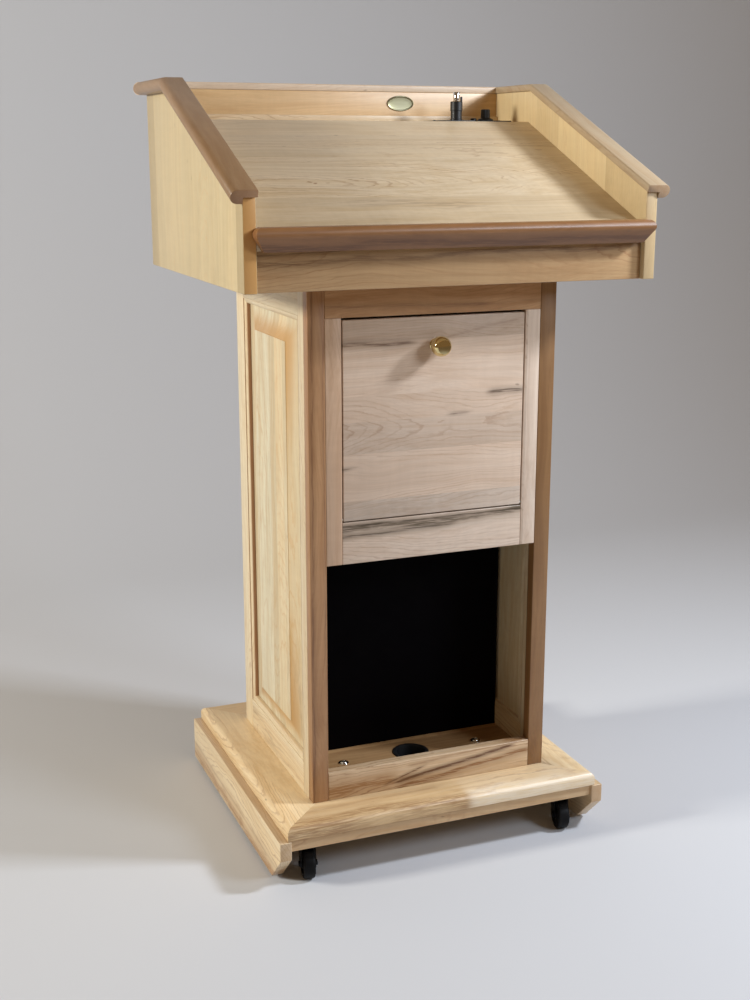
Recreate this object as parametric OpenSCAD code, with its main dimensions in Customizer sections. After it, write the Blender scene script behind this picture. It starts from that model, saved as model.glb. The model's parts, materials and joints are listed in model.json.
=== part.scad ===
// Presentation lectern on casters.
// Millimetres, +Z up. The presenter stands on the -Y side, the audience on the +Y side.
// The origin is on the floor under the middle of the whole lectern.

/* [Stock] */
// Thickness of the solid boards
stock = 19; // [18:0.5:22]
// Gap at glued or screwed joints between boards in one frame
joint_gap = 0.1; // [0.05:0.05:0.2]

/* [Desk] */
// Width over the two cheeks
desk_w = 648; // [560:1:760]
// Depth of the cheeks from front to back
desk_d = 546; // [500:1:600]
// How far the cheeks stand forward of the pedestal's front
desk_overhang = 86; // [60:1:110]
// Height of the cheeks' flat rear part
cheek_h = 288; // [270:1:310]
// Height of the cheeks' front edge
cheek_front_h = 131; // [110:1:150]
// Slope of the reading surface and of the cheeks
slope_angle = 22.5; // [15:0.5:30]
// Height of the reading surface above the desk's bottom, at its front edge
reading_front_h = 78; // [60:1:90]
// How far the apron is set back behind the cheeks
apron_setback = 10; // [4:1:20]
// Depth of the flat equipment shelf
shelf_d = 124; // [100:1:140]

/* [Cap rail] */
// Thickness of the cap above the boards it covers
cap_top = 11.5; // [9:0.5:14]
// Depth of the rounded lobe that hangs outside
cap_lobe_h = 21; // [18:0.5:24]
// How far the lobe stands outside the boards
cap_overhang = 18; // [14:1:22]
// How far the side caps stand inside the cheeks
cap_inner = 2; // [0:0.5:4]

/* [Book stop] */
// How far the nose stands forward
stop_nose = 22; // [16:1:28]
// How far the lower edge stands forward
stop_foot = 9; // [6:1:14]
// Height of the moulding
stop_h = 34; // [28:1:40]
// Radius of the nose
stop_r = 10; // [7:0.5:12]

/* [Pedestal] */
// Outer width
ped_w = 410; // [360:1:460]
// Outer depth
ped_d = 367; // [330:1:400]
// Height of the pedestal's own boards
ped_h = 816; // [760:1:860]
// Width of the two corner posts seen from the front
post_w = 27; // [22:1:32]
// Width of the side frames' front stiles
side_front_stile = 34; // [28:1:50]
// Width of the rear stiles
rear_stile = 50; // [40:1:60]
// Height of the frames' bottom rails
frame_bottom_rail = 62; // [50:1:75]
// Height of the frames' top rails
frame_top_rail = 56; // [45:1:70]
// Width of the raised panels' sloping border
panel_bevel = 38; // [25:1:45]
// Width of the moulded edge round each panel
sticking = 9; // [6:1:11]

/* [Flap] */
// Width of the flap
flap_w = 300.8; // [280:0.1:302]
// Height of the flap
flap_h = 306; // [280:1:308]
// Height of the opening's sill above the pedestal's foot
sill_h = 456; // [420:1:470]
// Height of the rail under the flap
flap_rail_h = 66; // [55:1:75]
// Height of the rail over the flap
top_rail_h = 48.5; // [40:0.5:55]
// Diameter of the ball knob
knob_d = 31; // [26:1:36]

/* [Compartment] */
// Distance of the black divider behind the pedestal's front
divider_y = 140; // [120:1:200]
// Thickness of the divider
divider_t = 12; // [9:1:16]
// Height of the toe board
toe_h = 47; // [35:1:60]
// Diameter of the cable hole in the boards
cable_hole_d = 54; // [45:1:56]
// Distance of the cable hole behind the pedestal's front
cable_hole_y = 85; // [70:1:95]

/* [Base] */
// How far the platform stands out at the front
platform_out = 68; // [55:1:75]
// How far the platform stands out at the back
platform_rear_out = 82; // [55:1:84]
// How far the platform stands out at each side
platform_side = 64; // [55:1:70]
// Thickness of the platform boards
platform_t = 22; // [19:0.5:25]
// Width of the mitred platform boards
platform_board_w = 90; // [86:1:100]
// Thickness of the deck under the platform
deck_t = 18; // [16:0.5:20]
// Width over the two side runners
runner_w = 565; // [545:1:590]
// Depth of the side runners
runner_d = 521; // [500:1:540]
// Clear height under the runners
runner_clear = 6; // [4:0.5:10]
// Size of the runners' sloping front corner
runner_chamfer = 46; // [30:1:50]

/* [Casters] */
// Overall height of a caster
caster_h = 64; // [60:1:70]
// Wheel diameter
wheel_d = 48; // [44:1:50]
// Wheel width
wheel_w = 19; // [16:1:22]
// Distance from the swivel axis to the wheel's axle
caster_trail = 12; // [10:1:14]
// Distance from the lectern's middle to each swivel axis, sideways
caster_x = 225; // [200:1:225]
// Angle at which all four casters stand turned, anticlockwise seen from above
caster_turn = -10; // [-90:5:90]

/* [Electronics] */
// Distance of the microphone socket right of the middle
socket_x = 193; // [150:1:200]
// Distance of the volume knob right of the middle
volume_x = 249; // [230:1:265]
// Distance of both behind the pedestal's front
electronics_y = 352; // [330:1:380]

/* [Hidden] */
$fn = 48;

// Colours
maple = "burlywood";
pale_maple = "wheat";
black = "#181818";
steel = "silver";
brass = "goldenrod";

// Depths, measured from the middle of the lectern's box
nose_reach = desk_overhang + stop_nose;
rear_reach = desk_d - desk_overhang + cap_overhang;
front_y = (nose_reach - rear_reach) / 2;
back_y = front_y + ped_d;
cheek_y0 = front_y - desk_overhang;
cheek_y1 = cheek_y0 + desk_d;

// Heights
deck_z = caster_h;
platform_z = deck_z + deck_t;
foot_z = platform_z + platform_t;
desk_z = foot_z + ped_h;
sill_z = foot_z + sill_h;
flap_rail_z = sill_z - flap_rail_h;
top_rail_z = desk_z - top_rail_h;
cheek_flat_z = desk_z + cheek_h;
cheek_bend_y = cheek_y0 + (cheek_flat_z - desk_z - cheek_front_h) / tan(slope_angle);

// Desk
cheek_x = desk_w / 2 - stock;
riser_y = cheek_y1 - 2 * stock;
shelf_y = riser_y - shelf_d;
shelf_z = desk_z + reading_front_h + (shelf_y - cheek_y0) * tan(slope_angle);
surface_drop = stock / cos(slope_angle);

// Pedestal
ped_x = ped_w / 2;
side_x = ped_x - stock;
post_x = ped_x - post_w;
flap_stile_w = post_x - flap_w / 2 - 1.6;
panel_y0 = front_y + stock + side_front_stile;
panel_y1 = back_y - rear_stile;
panel_z0 = foot_z + frame_bottom_rail;
panel_z1 = desk_z - frame_top_rail;
floor_z = foot_z + stock;
inner_back_y = back_y - stock;

// Raised panel, measured inwards from the frame's outer face
panel_t = 14;
panel_fall = 9;
cove_r = 5.5;
groove_d = 8;
groove_w = 5;

// Flap pivots
pivot_in = 3;
flap_z = sill_z + 2;
pivot_y = front_y + pivot_in;
pivot_z = flap_z + pivot_in;
pin_r = 1.5;
pin_fit = 0.05;
bush_r = 2.6;
pin_in_flap = 14;
pin_in_bush = 8;

// Knob
knob_z = flap_z + flap_h - 43;
knob_stand = 33;

// Base
platform_x = ped_x + platform_side;
platform_y0 = front_y - platform_out;
platform_y1 = back_y + platform_rear_out;
platform_mid_y = (platform_y0 + platform_y1) / 2;
platform_half_d = (platform_y1 - platform_y0) / 2;
runner_x = runner_w / 2 - stock;
runner_y0 = platform_y0 - 1;

// Casters
axle_z = wheel_d / 2;
axle_r = 3;
swivel_z = 56;
crown_h = 4;
kingpin_r = 4;
front_caster_y = front_y - 25;
rear_caster_y = back_y + 22;

// Electronics
electronics_py = front_y + electronics_y;
plate_t = 2;
plate_w = 66;
plate_z = shelf_z + plate_t;
socket_body_r = 10.5;
socket_body_h = 32;
shell_r = 5.6;
shell_bore_r = 4.8;
shell_h = 15.5;
shaft_r = 3;

module box(x0, x1, y0, y1, z0, z1) {
    translate([x0, y0, z0]) cube([x1 - x0, y1 - y0, z1 - z0]);
}

// Extrudes an outline drawn in (y, z) along X from x0 to x1.
module along_x(x0, x1) {
    translate([x0, 0, 0])
        rotate([90, 0, 90])
            linear_extrude(x1 - x0) children();
}

// ---- Desk ----

module cheek(side) {
    outer = side * desk_w / 2;
    inner = side * cheek_x;
    along_x(min(outer, inner), max(outer, inner))
        polygon([
            [cheek_y0, desk_z],
            [cheek_y1, desk_z],
            [cheek_y1, cheek_flat_z],
            [cheek_bend_y, cheek_flat_z],
            [cheek_y0, desk_z + cheek_front_h]
        ]);
}

// Cap section: u runs outwards from the inner edge, v up from the boards it covers.
module cap_section(cover) {
    lobe_r = cap_lobe_h / 2;
    ease = 3;
    square([cover, cap_top - ease]);
    translate([ease, 0]) square([cover - ease, cap_top]);
    translate([ease, cap_top - ease]) circle(r = ease, $fn = 24);
    translate([cover, cap_top - cap_lobe_h])
        square([cap_overhang - lobe_r, cap_lobe_h]);
    difference() {
        translate([cover + cap_overhang - lobe_r, cap_top - lobe_r]) circle(r = lobe_r);
        translate([cover - lobe_r, -cap_lobe_h]) square([lobe_r, cap_lobe_h]);
    }
}

// A half space below a plane through (y, z) that leans by the given angle from the vertical,
// used to cut the mitres of the cap rail.
module mitre_keep(y, z, lean, ahead) {
    big = 1500;
    translate([0, y, z])
        rotate([lean, 0, 0])
            translate([-big / 2, ahead ? 0 : -big, -big / 2]) cube([big, big, big]);
}

// Plan mitre at the rear corners: keeps the part in front of (or behind) the line that joins
// the inner corner to the outer corner.
module corner_keep(side, ahead) {
    big = 1500;
    inner = [cheek_x - cap_inner, riser_y];
    outer = [desk_w / 2 + cap_overhang, cheek_y1 + cap_overhang];
    turn = atan2(outer[1] - inner[1], outer[0] - inner[0]);
    mirror([side < 0 ? 1 : 0, 0, 0])
        translate([inner[0], inner[1], 0])
            rotate([0, 0, turn])
                translate([-big, ahead ? -big : 0, 0]) cube([2 * big, big, 2 * big]);
}

module side_cap(side) {
    cover = stock + cap_inner;
    lead = 5;
    run = (cheek_bend_y - cheek_y0) / cos(slope_angle) + lead;
    mirror([side < 0 ? 1 : 0, 0, 0]) {
        intersection() {
            translate([cheek_x - cap_inner, cheek_y0, desk_z + cheek_front_h])
                rotate([90 + slope_angle, 0, 0])
                    translate([0, 0, -run - 10])
                        linear_extrude(run + 10 + lead) cap_section(cover);
            mitre_keep(cheek_bend_y, cheek_flat_z, slope_angle / 2, false);
        }
        intersection() {
            translate([cheek_x - cap_inner, cheek_bend_y - 20, cheek_flat_z])
                rotate([90, 0, 0])
                    mirror([0, 0, 1])
                        linear_extrude(cheek_y1 + cap_overhang - cheek_bend_y + 20)
                            cap_section(cover);
            mitre_keep(cheek_bend_y, cheek_flat_z, slope_angle / 2, true);
            corner_keep(1, true);
        }
    }
}

module left_cheek() { color(maple) cheek(-1); }

module right_cheek() { color(maple) cheek(1); }

module left_cap() { color(pale_maple) side_cap(-1); }

module right_cap() { color(pale_maple) side_cap(1); }

module rear_cap() {
    half = desk_w / 2 + cap_overhang;
    color(pale_maple)
        intersection() {
            translate([-half, riser_y, cheek_flat_z])
                rotate([90, 0, 90])
                    linear_extrude(2 * half) cap_section(2 * stock);
            corner_keep(1, false);
            corner_keep(-1, false);
        }
}

// The front edge is eased where it meets the book stop.
module reading_surface() {
    arris = 1.5;
    front_z = desk_z + reading_front_h;
    color(pale_maple)
        along_x(-cheek_x, cheek_x)
            polygon([
                [cheek_y0, front_z - arris],
                [cheek_y0 + arris * cos(slope_angle), front_z + arris * sin(slope_angle)],
                [shelf_y, shelf_z],
                [shelf_y, shelf_z - surface_drop],
                [cheek_y0, front_z - surface_drop]
            ]);
}

module apron() {
    y0 = cheek_y0 + apron_setback;
    under = desk_z + reading_front_h - surface_drop;
    color(maple)
        along_x(-cheek_x, cheek_x)
            polygon([
                [y0, desk_z],
                [y0 + stock, desk_z],
                [y0 + stock, under + (y0 + stock - cheek_y0) * tan(slope_angle)],
                [y0, under + apron_setback * tan(slope_angle)]
            ]);
}

// Book-stop section: p stands forward of the reading surface's front edge.
module stop_section() {
    nose_h = stop_h - stop_r;
    gap = [stop_foot - (stop_nose - stop_r), -nose_h];
    reach = norm(gap);
    tangent = atan2(gap[1], gap[0]) + acos(stop_r / reach);
    polygon([
        [0, 0],
        [stop_foot, 0],
        [
            stop_nose - stop_r + stop_r * cos(tangent),
            nose_h + stop_r * sin(tangent)
        ],
        [stop_nose - stop_r, nose_h],
        [stop_nose - stop_r, stop_h],
        [0, stop_h]
    ]);
    translate([stop_nose - stop_r, nose_h]) circle(r = stop_r);
}

// The moulding's section runs along X and is returned round both ends.
module book_stop() {
    half = desk_w / 2 - stock - 16;
    base_z = desk_z + reading_front_h + 12 - stop_h;
    color(pale_maple)
        translate([0, cheek_y0, base_z])
            intersection() {
                translate([-desk_w / 2, 0, 0])
                    rotate([90, 0, 90])
                        linear_extrude(desk_w)
                            mirror([1, 0, 0]) stop_section();
                rotate([90, 0, 0])
                    linear_extrude(2 * stop_nose) {
                        translate([half, 0]) stop_section();
                        translate([-half, 0]) mirror([1, 0, 0]) stop_section();
                        translate([-half, 0]) square([2 * half, stop_h]);
                    }
            }
}

module equipment_shelf() {
    hole_r = 8;
    color(maple)
        difference() {
            box(-cheek_x, cheek_x, shelf_y, riser_y, shelf_z - stock, shelf_z);
            for (x = [socket_x, volume_x])
                translate([x, electronics_py, shelf_z - stock - 1])
                    cylinder(h = stock + 2, r = hole_r);
        }
}

module shelf_trim() {
    color(pale_maple) box(-cheek_x, cheek_x, riser_y - 8, riser_y, shelf_z, shelf_z + 11);
}

module riser_board() {
    color(pale_maple)
        box(
            -cheek_x, cheek_x, riser_y, riser_y + stock,
            shelf_z - stock, cheek_flat_z - joint_gap
        );
}

module desk_back() {
    color(maple)
        box(-cheek_x, cheek_x, riser_y + stock, cheek_y1, desk_z, cheek_flat_z);
}

module desk_bottom() {
    y0 = cheek_y0 + apron_setback + stock;
    color(maple) box(-cheek_x, cheek_x, y0, riser_y + stock, desk_z, desk_z + stock);
}

// ---- Pedestal face ----

module post(side) {
    mirror([side < 0 ? 1 : 0, 0, 0])
        box(post_x, ped_x, front_y, front_y + stock, foot_z, desk_z);
}

module left_post() { color(maple) post(-1); }

module right_post() { color(maple) post(1); }

module face_top_rail() {
    color(maple) box(-post_x, post_x, front_y, front_y + stock, top_rail_z, desk_z);
}

// The stiles carry the bushes of the flap's pivot pins.
module flap_stiles() {
    color(pale_maple)
        for (side = [-1, 1])
            mirror([side < 0 ? 1 : 0, 0, 0])
                difference() {
                    box(
                        post_x - flap_stile_w, post_x,
                        front_y, front_y + stock, flap_rail_z, top_rail_z
                    );
                    translate([post_x - flap_stile_w - 1, pivot_y, pivot_z])
                        rotate([0, 90, 0])
                            cylinder(h = pin_in_bush + 2.1, r = bush_r, $fn = 32);
                }
}

module flap_rail() {
    half = post_x - flap_stile_w - joint_gap;
    color(pale_maple) box(-half, half, front_y, front_y + stock, flap_rail_z, sill_z);
}

module flap_door() {
    color(pale_maple)
        difference() {
            box(-flap_w / 2, flap_w / 2, front_y, front_y + stock, flap_z, flap_z + flap_h);
            for (side = [-1, 1])
                mirror([side < 0 ? 1 : 0, 0, 0])
                    translate([flap_w / 2 - pin_in_flap, pivot_y, pivot_z])
                        rotate([0, 90, 0])
                            cylinder(h = pin_in_flap + 1, r = pin_r, $fn = 32);
            translate([0, front_y - 1, knob_z])
                rotate([-90, 0, 0])
                    cylinder(h = stock + 2, r = 2, $fn = 32);
        }
}

// Ball knob with its rose, and the screw that holds it from inside the flap.
module flap_knob() {
    rose_r = 10;
    neck_r = 5.5;
    ball_r = knob_d / 2;
    ball_x = knob_stand - ball_r * 0.8;
    color(brass)
        translate([0, front_y, knob_z])
            rotate([90, 0, 0]) {
                rotate_extrude()
                    polygon([
                        [0, 0],
                        [rose_r, 0],
                        [rose_r, 1.5],
                        [neck_r + 1.5, 3.5],
                        [neck_r, 6],
                        [neck_r, ball_x - ball_r * 0.6],
                        [0, ball_x - ball_r * 0.6]
                    ]);
                translate([0, 0, ball_x])
                    intersection() {
                        sphere(r = ball_r, $fn = 64);
                        translate([-ball_r, -ball_r, -ball_r * 0.8])
                            cube([2 * ball_r, 2 * ball_r, ball_r * 1.6]);
                    }
                translate([0, 0, -stock]) cylinder(h = stock + 1, r = 1.95, $fn = 32);
                translate([0, 0, -stock - 2.5]) cylinder(h = 2.5, r = 5, $fn = 32);
            }
}

module pivot_pins() {
    color(steel)
        for (side = [-1, 1])
            mirror([side < 0 ? 1 : 0, 0, 0])
                translate([flap_w / 2 - pin_in_flap, pivot_y, pivot_z])
                    rotate([0, 90, 0])
                        cylinder(h = pin_in_flap + pin_in_bush, r = pin_r, $fn = 32);
}

module pivot_bushes() {
    x0 = post_x - flap_stile_w;
    color(brass)
        for (side = [-1, 1])
            mirror([side < 0 ? 1 : 0, 0, 0])
                translate([x0, pivot_y, pivot_z])
                    rotate([0, 90, 0])
                        difference() {
                            cylinder(h = pin_in_bush + 1, r = bush_r, $fn = 32);
                            translate([0, 0, -1])
                                cylinder(h = pin_in_bush + 1, r = pin_r + pin_fit, $fn = 32);
                        }
}

// Magnetic catch screwed behind the top rail, and the steel plate on the flap that it holds.
module flap_catch() {
    y0 = front_y + stock;
    color(black) {
        box(-22, 22, y0, y0 + 16, top_rail_z + 2, top_rail_z + 20);
        box(-12, 12, y0 + 2, y0 + 14, top_rail_z - 14, top_rail_z + 2);
    }
}

module catch_plate() {
    color(steel)
        box(
            -18, 18, front_y + stock, front_y + stock + 1.6,
            flap_z + flap_h - 20, flap_z + flap_h - 4
        );
}

// ---- Pedestal body ----

module storage_floor() {
    color(maple)
        box(-side_x, side_x, front_y + stock, inner_back_y, sill_z - stock, sill_z);
}

module divider_panel() {
    y0 = front_y + divider_y;
    color(black) box(-side_x, side_x, y0, y0 + divider_t, floor_z, sill_z - stock);
}

module floor_bolt_places() {
    for (x = [-121, 121], y = [cable_hole_y, ped_d - cable_hole_y])
        translate([x, front_y + y, 0]) children();
}

module cable_hole(z0, z1) {
    translate([0, front_y + cable_hole_y, z0 - 1])
        cylinder(h = z1 - z0 + 2, r = cable_hole_d / 2, $fn = 64);
}

module compartment_floor() {
    color(pale_maple)
        difference() {
            box(-side_x, side_x, front_y + stock, inner_back_y, foot_z, floor_z);
            cable_hole(foot_z, floor_z);
            floor_bolt_places()
                translate([0, 0, foot_z - 1]) cylinder(h = stock + 2, r = 4, $fn = 32);
        }
}

// Plastic sleeve with a flange that lines the cable hole down through both boards.
module cable_grommet() {
    bore_r = 24.5;
    flange_t = 2;
    color(black)
        translate([0, front_y + cable_hole_y, deck_z])
            difference() {
                union() {
                    cylinder(h = floor_z - deck_z + 1, r = cable_hole_d / 2 - joint_gap, $fn = 64);
                    translate([0, 0, floor_z - deck_z]) cylinder(h = flange_t, r = 31, $fn = 64);
                }
                translate([0, 0, -1])
                    cylinder(h = floor_z - deck_z + flange_t + 2, r = bore_r, $fn = 64);
            }
}

module toe_board() {
    color(pale_maple) box(-post_x, post_x, front_y, front_y + stock, foot_z, foot_z + toe_h);
}

// A panelled frame in its own plane: u across, v up, w inwards from the outer face.
// first and last are the widths of its two stiles.
module frame_members(width, height, first, last) {
    u1 = width - last;
    v0 = frame_bottom_rail;
    v1 = height - frame_top_rail;
    difference() {
        union() {
            cube([first, height, stock]);
            translate([u1, 0, 0]) cube([last, height, stock]);
            for (v = [[0, v0], [v1, height]])
                translate([first + joint_gap, v[0], 0])
                    cube([u1 - first - 2 * joint_gap, v[1] - v[0], stock]);
        }
        // Groove for the panel's tongue
        translate([first - groove_d, v0 - groove_d, panel_fall])
            cube([u1 - first + 2 * groove_d, v1 - v0 + 2 * groove_d, groove_w]);
        // Moulded inner edge
        hull() {
            translate([first - sticking, v0 - sticking, -0.01])
                cube([u1 - first + 2 * sticking, v1 - v0 + 2 * sticking, 0.01]);
            translate([first, v0, sticking * 0.6])
                cube([u1 - first, v1 - v0, 0.01]);
        }
    }
}

// Cut along one side of a raised panel: s runs inwards from the panel's edge, w in from its face.
module border_section() {
    flat_w = panel_bevel - cove_r;
    polygon([[-1, -1], [flat_w, -1], [flat_w, cove_r], [0, panel_fall], [-1, panel_fall]]);
    translate([flat_w, 0]) circle(r = cove_r);
}

module raised_panel(width, height, first, last) {
    gap = 0.3;
    u0 = first + gap;
    u1 = width - last - gap;
    v0 = frame_bottom_rail + gap;
    v1 = height - frame_top_rail - gap;
    tongue = groove_d - 1;
    difference() {
        translate([u0, v0, 0]) cube([u1 - u0, v1 - v0, panel_t]);
        for (far = [0, 1])
            translate([far * (u1 - u0) + u0, v1 + 1, 0])
                mirror([far, 0, 0])
                    rotate([90, 0, 0]) linear_extrude(v1 - v0 + 2) border_section();
        for (far = [0, 1])
            translate([u0 - 1, far * (v1 - v0) + v0, 0])
                mirror([0, far, 0])
                    rotate([90, 0, 90]) linear_extrude(u1 - u0 + 2) border_section();
    }
    translate([u0 - tongue, v0 - tongue, panel_fall + joint_gap])
        cube([u1 - u0 + 2 * tongue, v1 - v0 + 2 * tongue, groove_w - 2 * joint_gap]);
}

// Places a frame's plane on the left (-1) or right (1) side, front stile first.
module on_side(side) {
    mirror([side > 0 ? 1 : 0, 0, 0])
        translate([-ped_x, front_y + stock, foot_z])
            multmatrix([[0, 0, 1, 0], [1, 0, 0, 0], [0, 1, 0, 0], [0, 0, 0, 1]])
                children();
}

module on_back() {
    translate([side_x, back_y, foot_z])
        multmatrix([[-1, 0, 0, 0], [0, 0, -1, 0], [0, 1, 0, 0], [0, 0, 0, 1]])
            children();
}

side_len = ped_d - stock;

module left_side_frame() {
    color(maple) on_side(-1) frame_members(side_len, ped_h, side_front_stile, rear_stile);
}

module left_side_panel() {
    color(pale_maple) on_side(-1) raised_panel(side_len, ped_h, side_front_stile, rear_stile);
}

module right_side_frame() {
    color(maple) on_side(1) frame_members(side_len, ped_h, side_front_stile, rear_stile);
}

module right_side_panel() {
    color(pale_maple) on_side(1) raised_panel(side_len, ped_h, side_front_stile, rear_stile);
}

module back_frame() {
    color(maple) on_back() frame_members(2 * side_x, ped_h, rear_stile, rear_stile);
}

module back_panel() {
    color(pale_maple) on_back() raised_panel(2 * side_x, ped_h, rear_stile, rear_stile);
}

// ---- Base ----

// Section of one platform board with its bullnosed edge, u inwards from its outer edge.
module bullnose_section(width) {
    nose = platform_t * 0.45;
    translate([nose, 0]) square([width - nose, platform_t]);
    square([width, platform_t - nose]);
    translate([nose, platform_t - nose]) circle(r = nose);
}

// One of four boards mitred at the corners, with its moulded edge outwards. The board's
// outer edge is half_len to each side of the middle and lies at -reach before it is turned.
module platform_board(half_len, reach, turn) {
    tip = half_len - joint_gap;
    translate([0, platform_mid_y, platform_z])
        rotate([0, 0, turn])
            intersection() {
                translate([-half_len, -reach, 0])
                    rotate([90, 0, 90])
                        linear_extrude(2 * half_len) bullnose_section(platform_board_w);
                linear_extrude(platform_t)
                    polygon([
                        [-tip, -reach],
                        [tip, -reach],
                        [tip - platform_board_w, platform_board_w - reach],
                        [platform_board_w - tip, platform_board_w - reach]
                    ]);
            }
}

module platform_front() { color(pale_maple) platform_board(platform_x, platform_half_d, 0); }

module platform_rear() { color(pale_maple) platform_board(platform_x, platform_half_d, 180); }

module platform_left() { color(pale_maple) platform_board(platform_half_d, platform_x, 270); }

module platform_right() { color(pale_maple) platform_board(platform_half_d, platform_x, 90); }

module base_deck() {
    y0 = platform_y0 + 4;
    y1 = platform_y1 - 4;
    color(maple)
        difference() {
            box(-runner_x, runner_x, y0, y1, deck_z, platform_z);
            cable_hole(deck_z, platform_z);
            floor_bolt_places()
                translate([0, 0, deck_z - 1]) cylinder(h = deck_t + 2, r = 4, $fn = 32);
        }
}

module runner(side) {
    outer = side * runner_w / 2;
    inner = side * runner_x;
    along_x(min(outer, inner), max(outer, inner))
        polygon([
            [runner_y0 + runner_chamfer, runner_clear],
            [runner_y0 + runner_d, runner_clear],
            [runner_y0 + runner_d, platform_z],
            [runner_y0, platform_z],
            [runner_y0, runner_clear + runner_chamfer]
        ]);
}

module left_runner() { color(pale_maple) runner(-1); }

module right_runner() { color(pale_maple) runner(1); }

// Button-head bolts with washers that hold the pedestal's floor to the base.
module floor_bolts() {
    color(steel)
        floor_bolt_places() {
            translate([0, 0, floor_z]) cylinder(h = 1.5, r = 8.5, $fn = 32);
            translate([0, 0, floor_z + 1.5]) cylinder(h = 3, r1 = 6, r2 = 4, $fn = 32);
            translate([0, 0, deck_z - 4]) cylinder(h = floor_z - deck_z + 6, r = 3.95, $fn = 32);
            translate([0, 0, deck_z - 6]) cylinder(h = 6, r = 6.5, $fn = 6);
        }
}

// ---- Casters ----

module at_caster(side, end) {
    translate([side * caster_x, end < 0 ? front_caster_y : rear_caster_y, 0])
        rotate([0, 0, caster_turn]) children();
}

// Fixed top plates, each with its raceway and its kingpin.
module caster_plates() {
    plate = 42;
    color(black)
        for (side = [-1, 1], end = [-1, 1])
            translate([side * caster_x, end < 0 ? front_caster_y : rear_caster_y, 0]) {
                translate([-plate / 2, -plate / 2, caster_h - 2.5]) cube([plate, plate, 2.5]);
                translate([0, 0, swivel_z + 0.3])
                    cylinder(h = caster_h - swivel_z - 2, r = 15);
                translate([0, 0, swivel_z - crown_h - 3])
                    cylinder(h = crown_h + 4, r = kingpin_r);
                translate([0, 0, swivel_z - crown_h - 3]) cylinder(h = 2.7, r = 6.5);
            }
}

// Swivelling fork with its axle: the legs reach towards -Y before the caster is turned.
module fork(side, end) {
    leg_t = 2;
    leg_x = wheel_w / 2 + 1;
    color(black)
        at_caster(side, end) {
            translate([0, 0, swivel_z - crown_h])
                difference() {
                    cylinder(h = crown_h, r = 16);
                    translate([0, 0, -1])
                        cylinder(h = crown_h + 2, r = kingpin_r + 0.05, $fn = 32);
                }
            for (s = [-1, 1])
                translate([s > 0 ? leg_x : -leg_x - leg_t, 0, 0])
                    rotate([90, 0, 90])
                        linear_extrude(leg_t)
                            polygon([
                                [8, swivel_z - 1],
                                [-12, swivel_z - 1],
                                [-caster_trail - 7, axle_z + 4],
                                [-caster_trail - 6, axle_z - 5],
                                [-caster_trail + 6, axle_z - 5]
                            ]);
            translate([-leg_x - leg_t - 2.5, -caster_trail, axle_z])
                rotate([0, 90, 0])
                    cylinder(h = 2 * (leg_x + leg_t + 2.5), r = axle_r, $fn = 32);
            for (s = [-1, 1])
                translate([s * (leg_x + leg_t + 1.25), -caster_trail, axle_z])
                    rotate([0, 90, 0])
                        cylinder(h = 2.5, r = 5, $fn = 6, center = true);
        }
}

module wheel(side, end) {
    half = wheel_w / 2;
    edge = 3;
    color(black)
        at_caster(side, end)
            translate([0, -caster_trail, axle_z])
                rotate([0, 90, 0])
                    rotate_extrude($fn = 64)
                        polygon([
                            [axle_r + 0.05, -half + 0.5],
                            [8, -half],
                            [8.5, -half + 2],
                            [wheel_d / 2 - 7, -half + 2],
                            [wheel_d / 2 - edge, -half + 0.5],
                            [wheel_d / 2, -half + edge + 0.5],
                            [wheel_d / 2, half - edge - 0.5],
                            [wheel_d / 2 - edge, half - 0.5],
                            [wheel_d / 2 - 7, half - 2],
                            [8.5, half - 2],
                            [8, half],
                            [axle_r + 0.05, half - 0.5]
                        ]);
}

module front_left_fork() { fork(-1, -1); }

module front_left_wheel() { wheel(-1, -1); }

module front_right_fork() { fork(1, -1); }

module front_right_wheel() { wheel(1, -1); }

module rear_left_fork() { fork(-1, 1); }

module rear_left_wheel() { wheel(-1, 1); }

module rear_right_fork() { fork(1, 1); }

module rear_right_wheel() { wheel(1, 1); }

// ---- Electronics on the shelf ----

// One cover plate from x0, with a hole for what passes through it and its screws.
module cover_plate(x0, hole_x, hole_r, screw_xs) {
    difference() {
        box(
            x0, x0 + plate_w, electronics_py - 35, electronics_py + 35,
            shelf_z, plate_z
        );
        translate([hole_x, electronics_py, shelf_z - 1]) cylinder(h = plate_t + 2, r = hole_r);
    }
    for (x = screw_xs)
        translate([x, electronics_py, plate_z]) cylinder(h = 1.2, r = 2.5, $fn = 24);
}

// Plates under the microphone socket and the volume knob, and a small cap beside the knob.
module control_plates() {
    mic_x0 = socket_x - 47;
    volume_x0 = volume_x - 33;
    color(black) {
        cover_plate(mic_x0, socket_x, 7, [mic_x0 + 6, mic_x0 + plate_w - 6]);
        cover_plate(volume_x0, volume_x, 4.5, [volume_x0 + plate_w - 6]);
        translate([volume_x - 23, electronics_py, plate_z]) cylinder(h = 4.5, r = 5.5);
    }
}

// Round body that stands on the plate, with a threaded neck through the shelf.
module microphone_socket() {
    color(black)
        translate([socket_x, electronics_py, plate_z]) {
            cylinder(h = 3, r = socket_body_r);
            translate([0, 0, 3]) cylinder(h = 13, r = socket_body_r - 0.8);
            difference() {
                translate([0, 0, 16]) cylinder(h = socket_body_h - 16, r = socket_body_r);
                translate([shell_r + 0.7, -3.3, socket_body_h - 10]) cube([5, 6.6, 11]);
            }
            translate([0, 0, -stock - 8]) cylinder(h = stock + 8, r = 6.9);
            translate([0, 0, -stock - plate_t - 4]) cylinder(h = 4, r = 12, $fn = 6);
        }
}

module socket_shell() {
    z0 = plate_z + socket_body_h;
    color(steel)
        translate([socket_x, electronics_py, z0])
            difference() {
                cylinder(h = shell_h, r = shell_r);
                translate([0, 0, 2]) cylinder(h = shell_h, r = shell_bore_r);
            }
}

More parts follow.
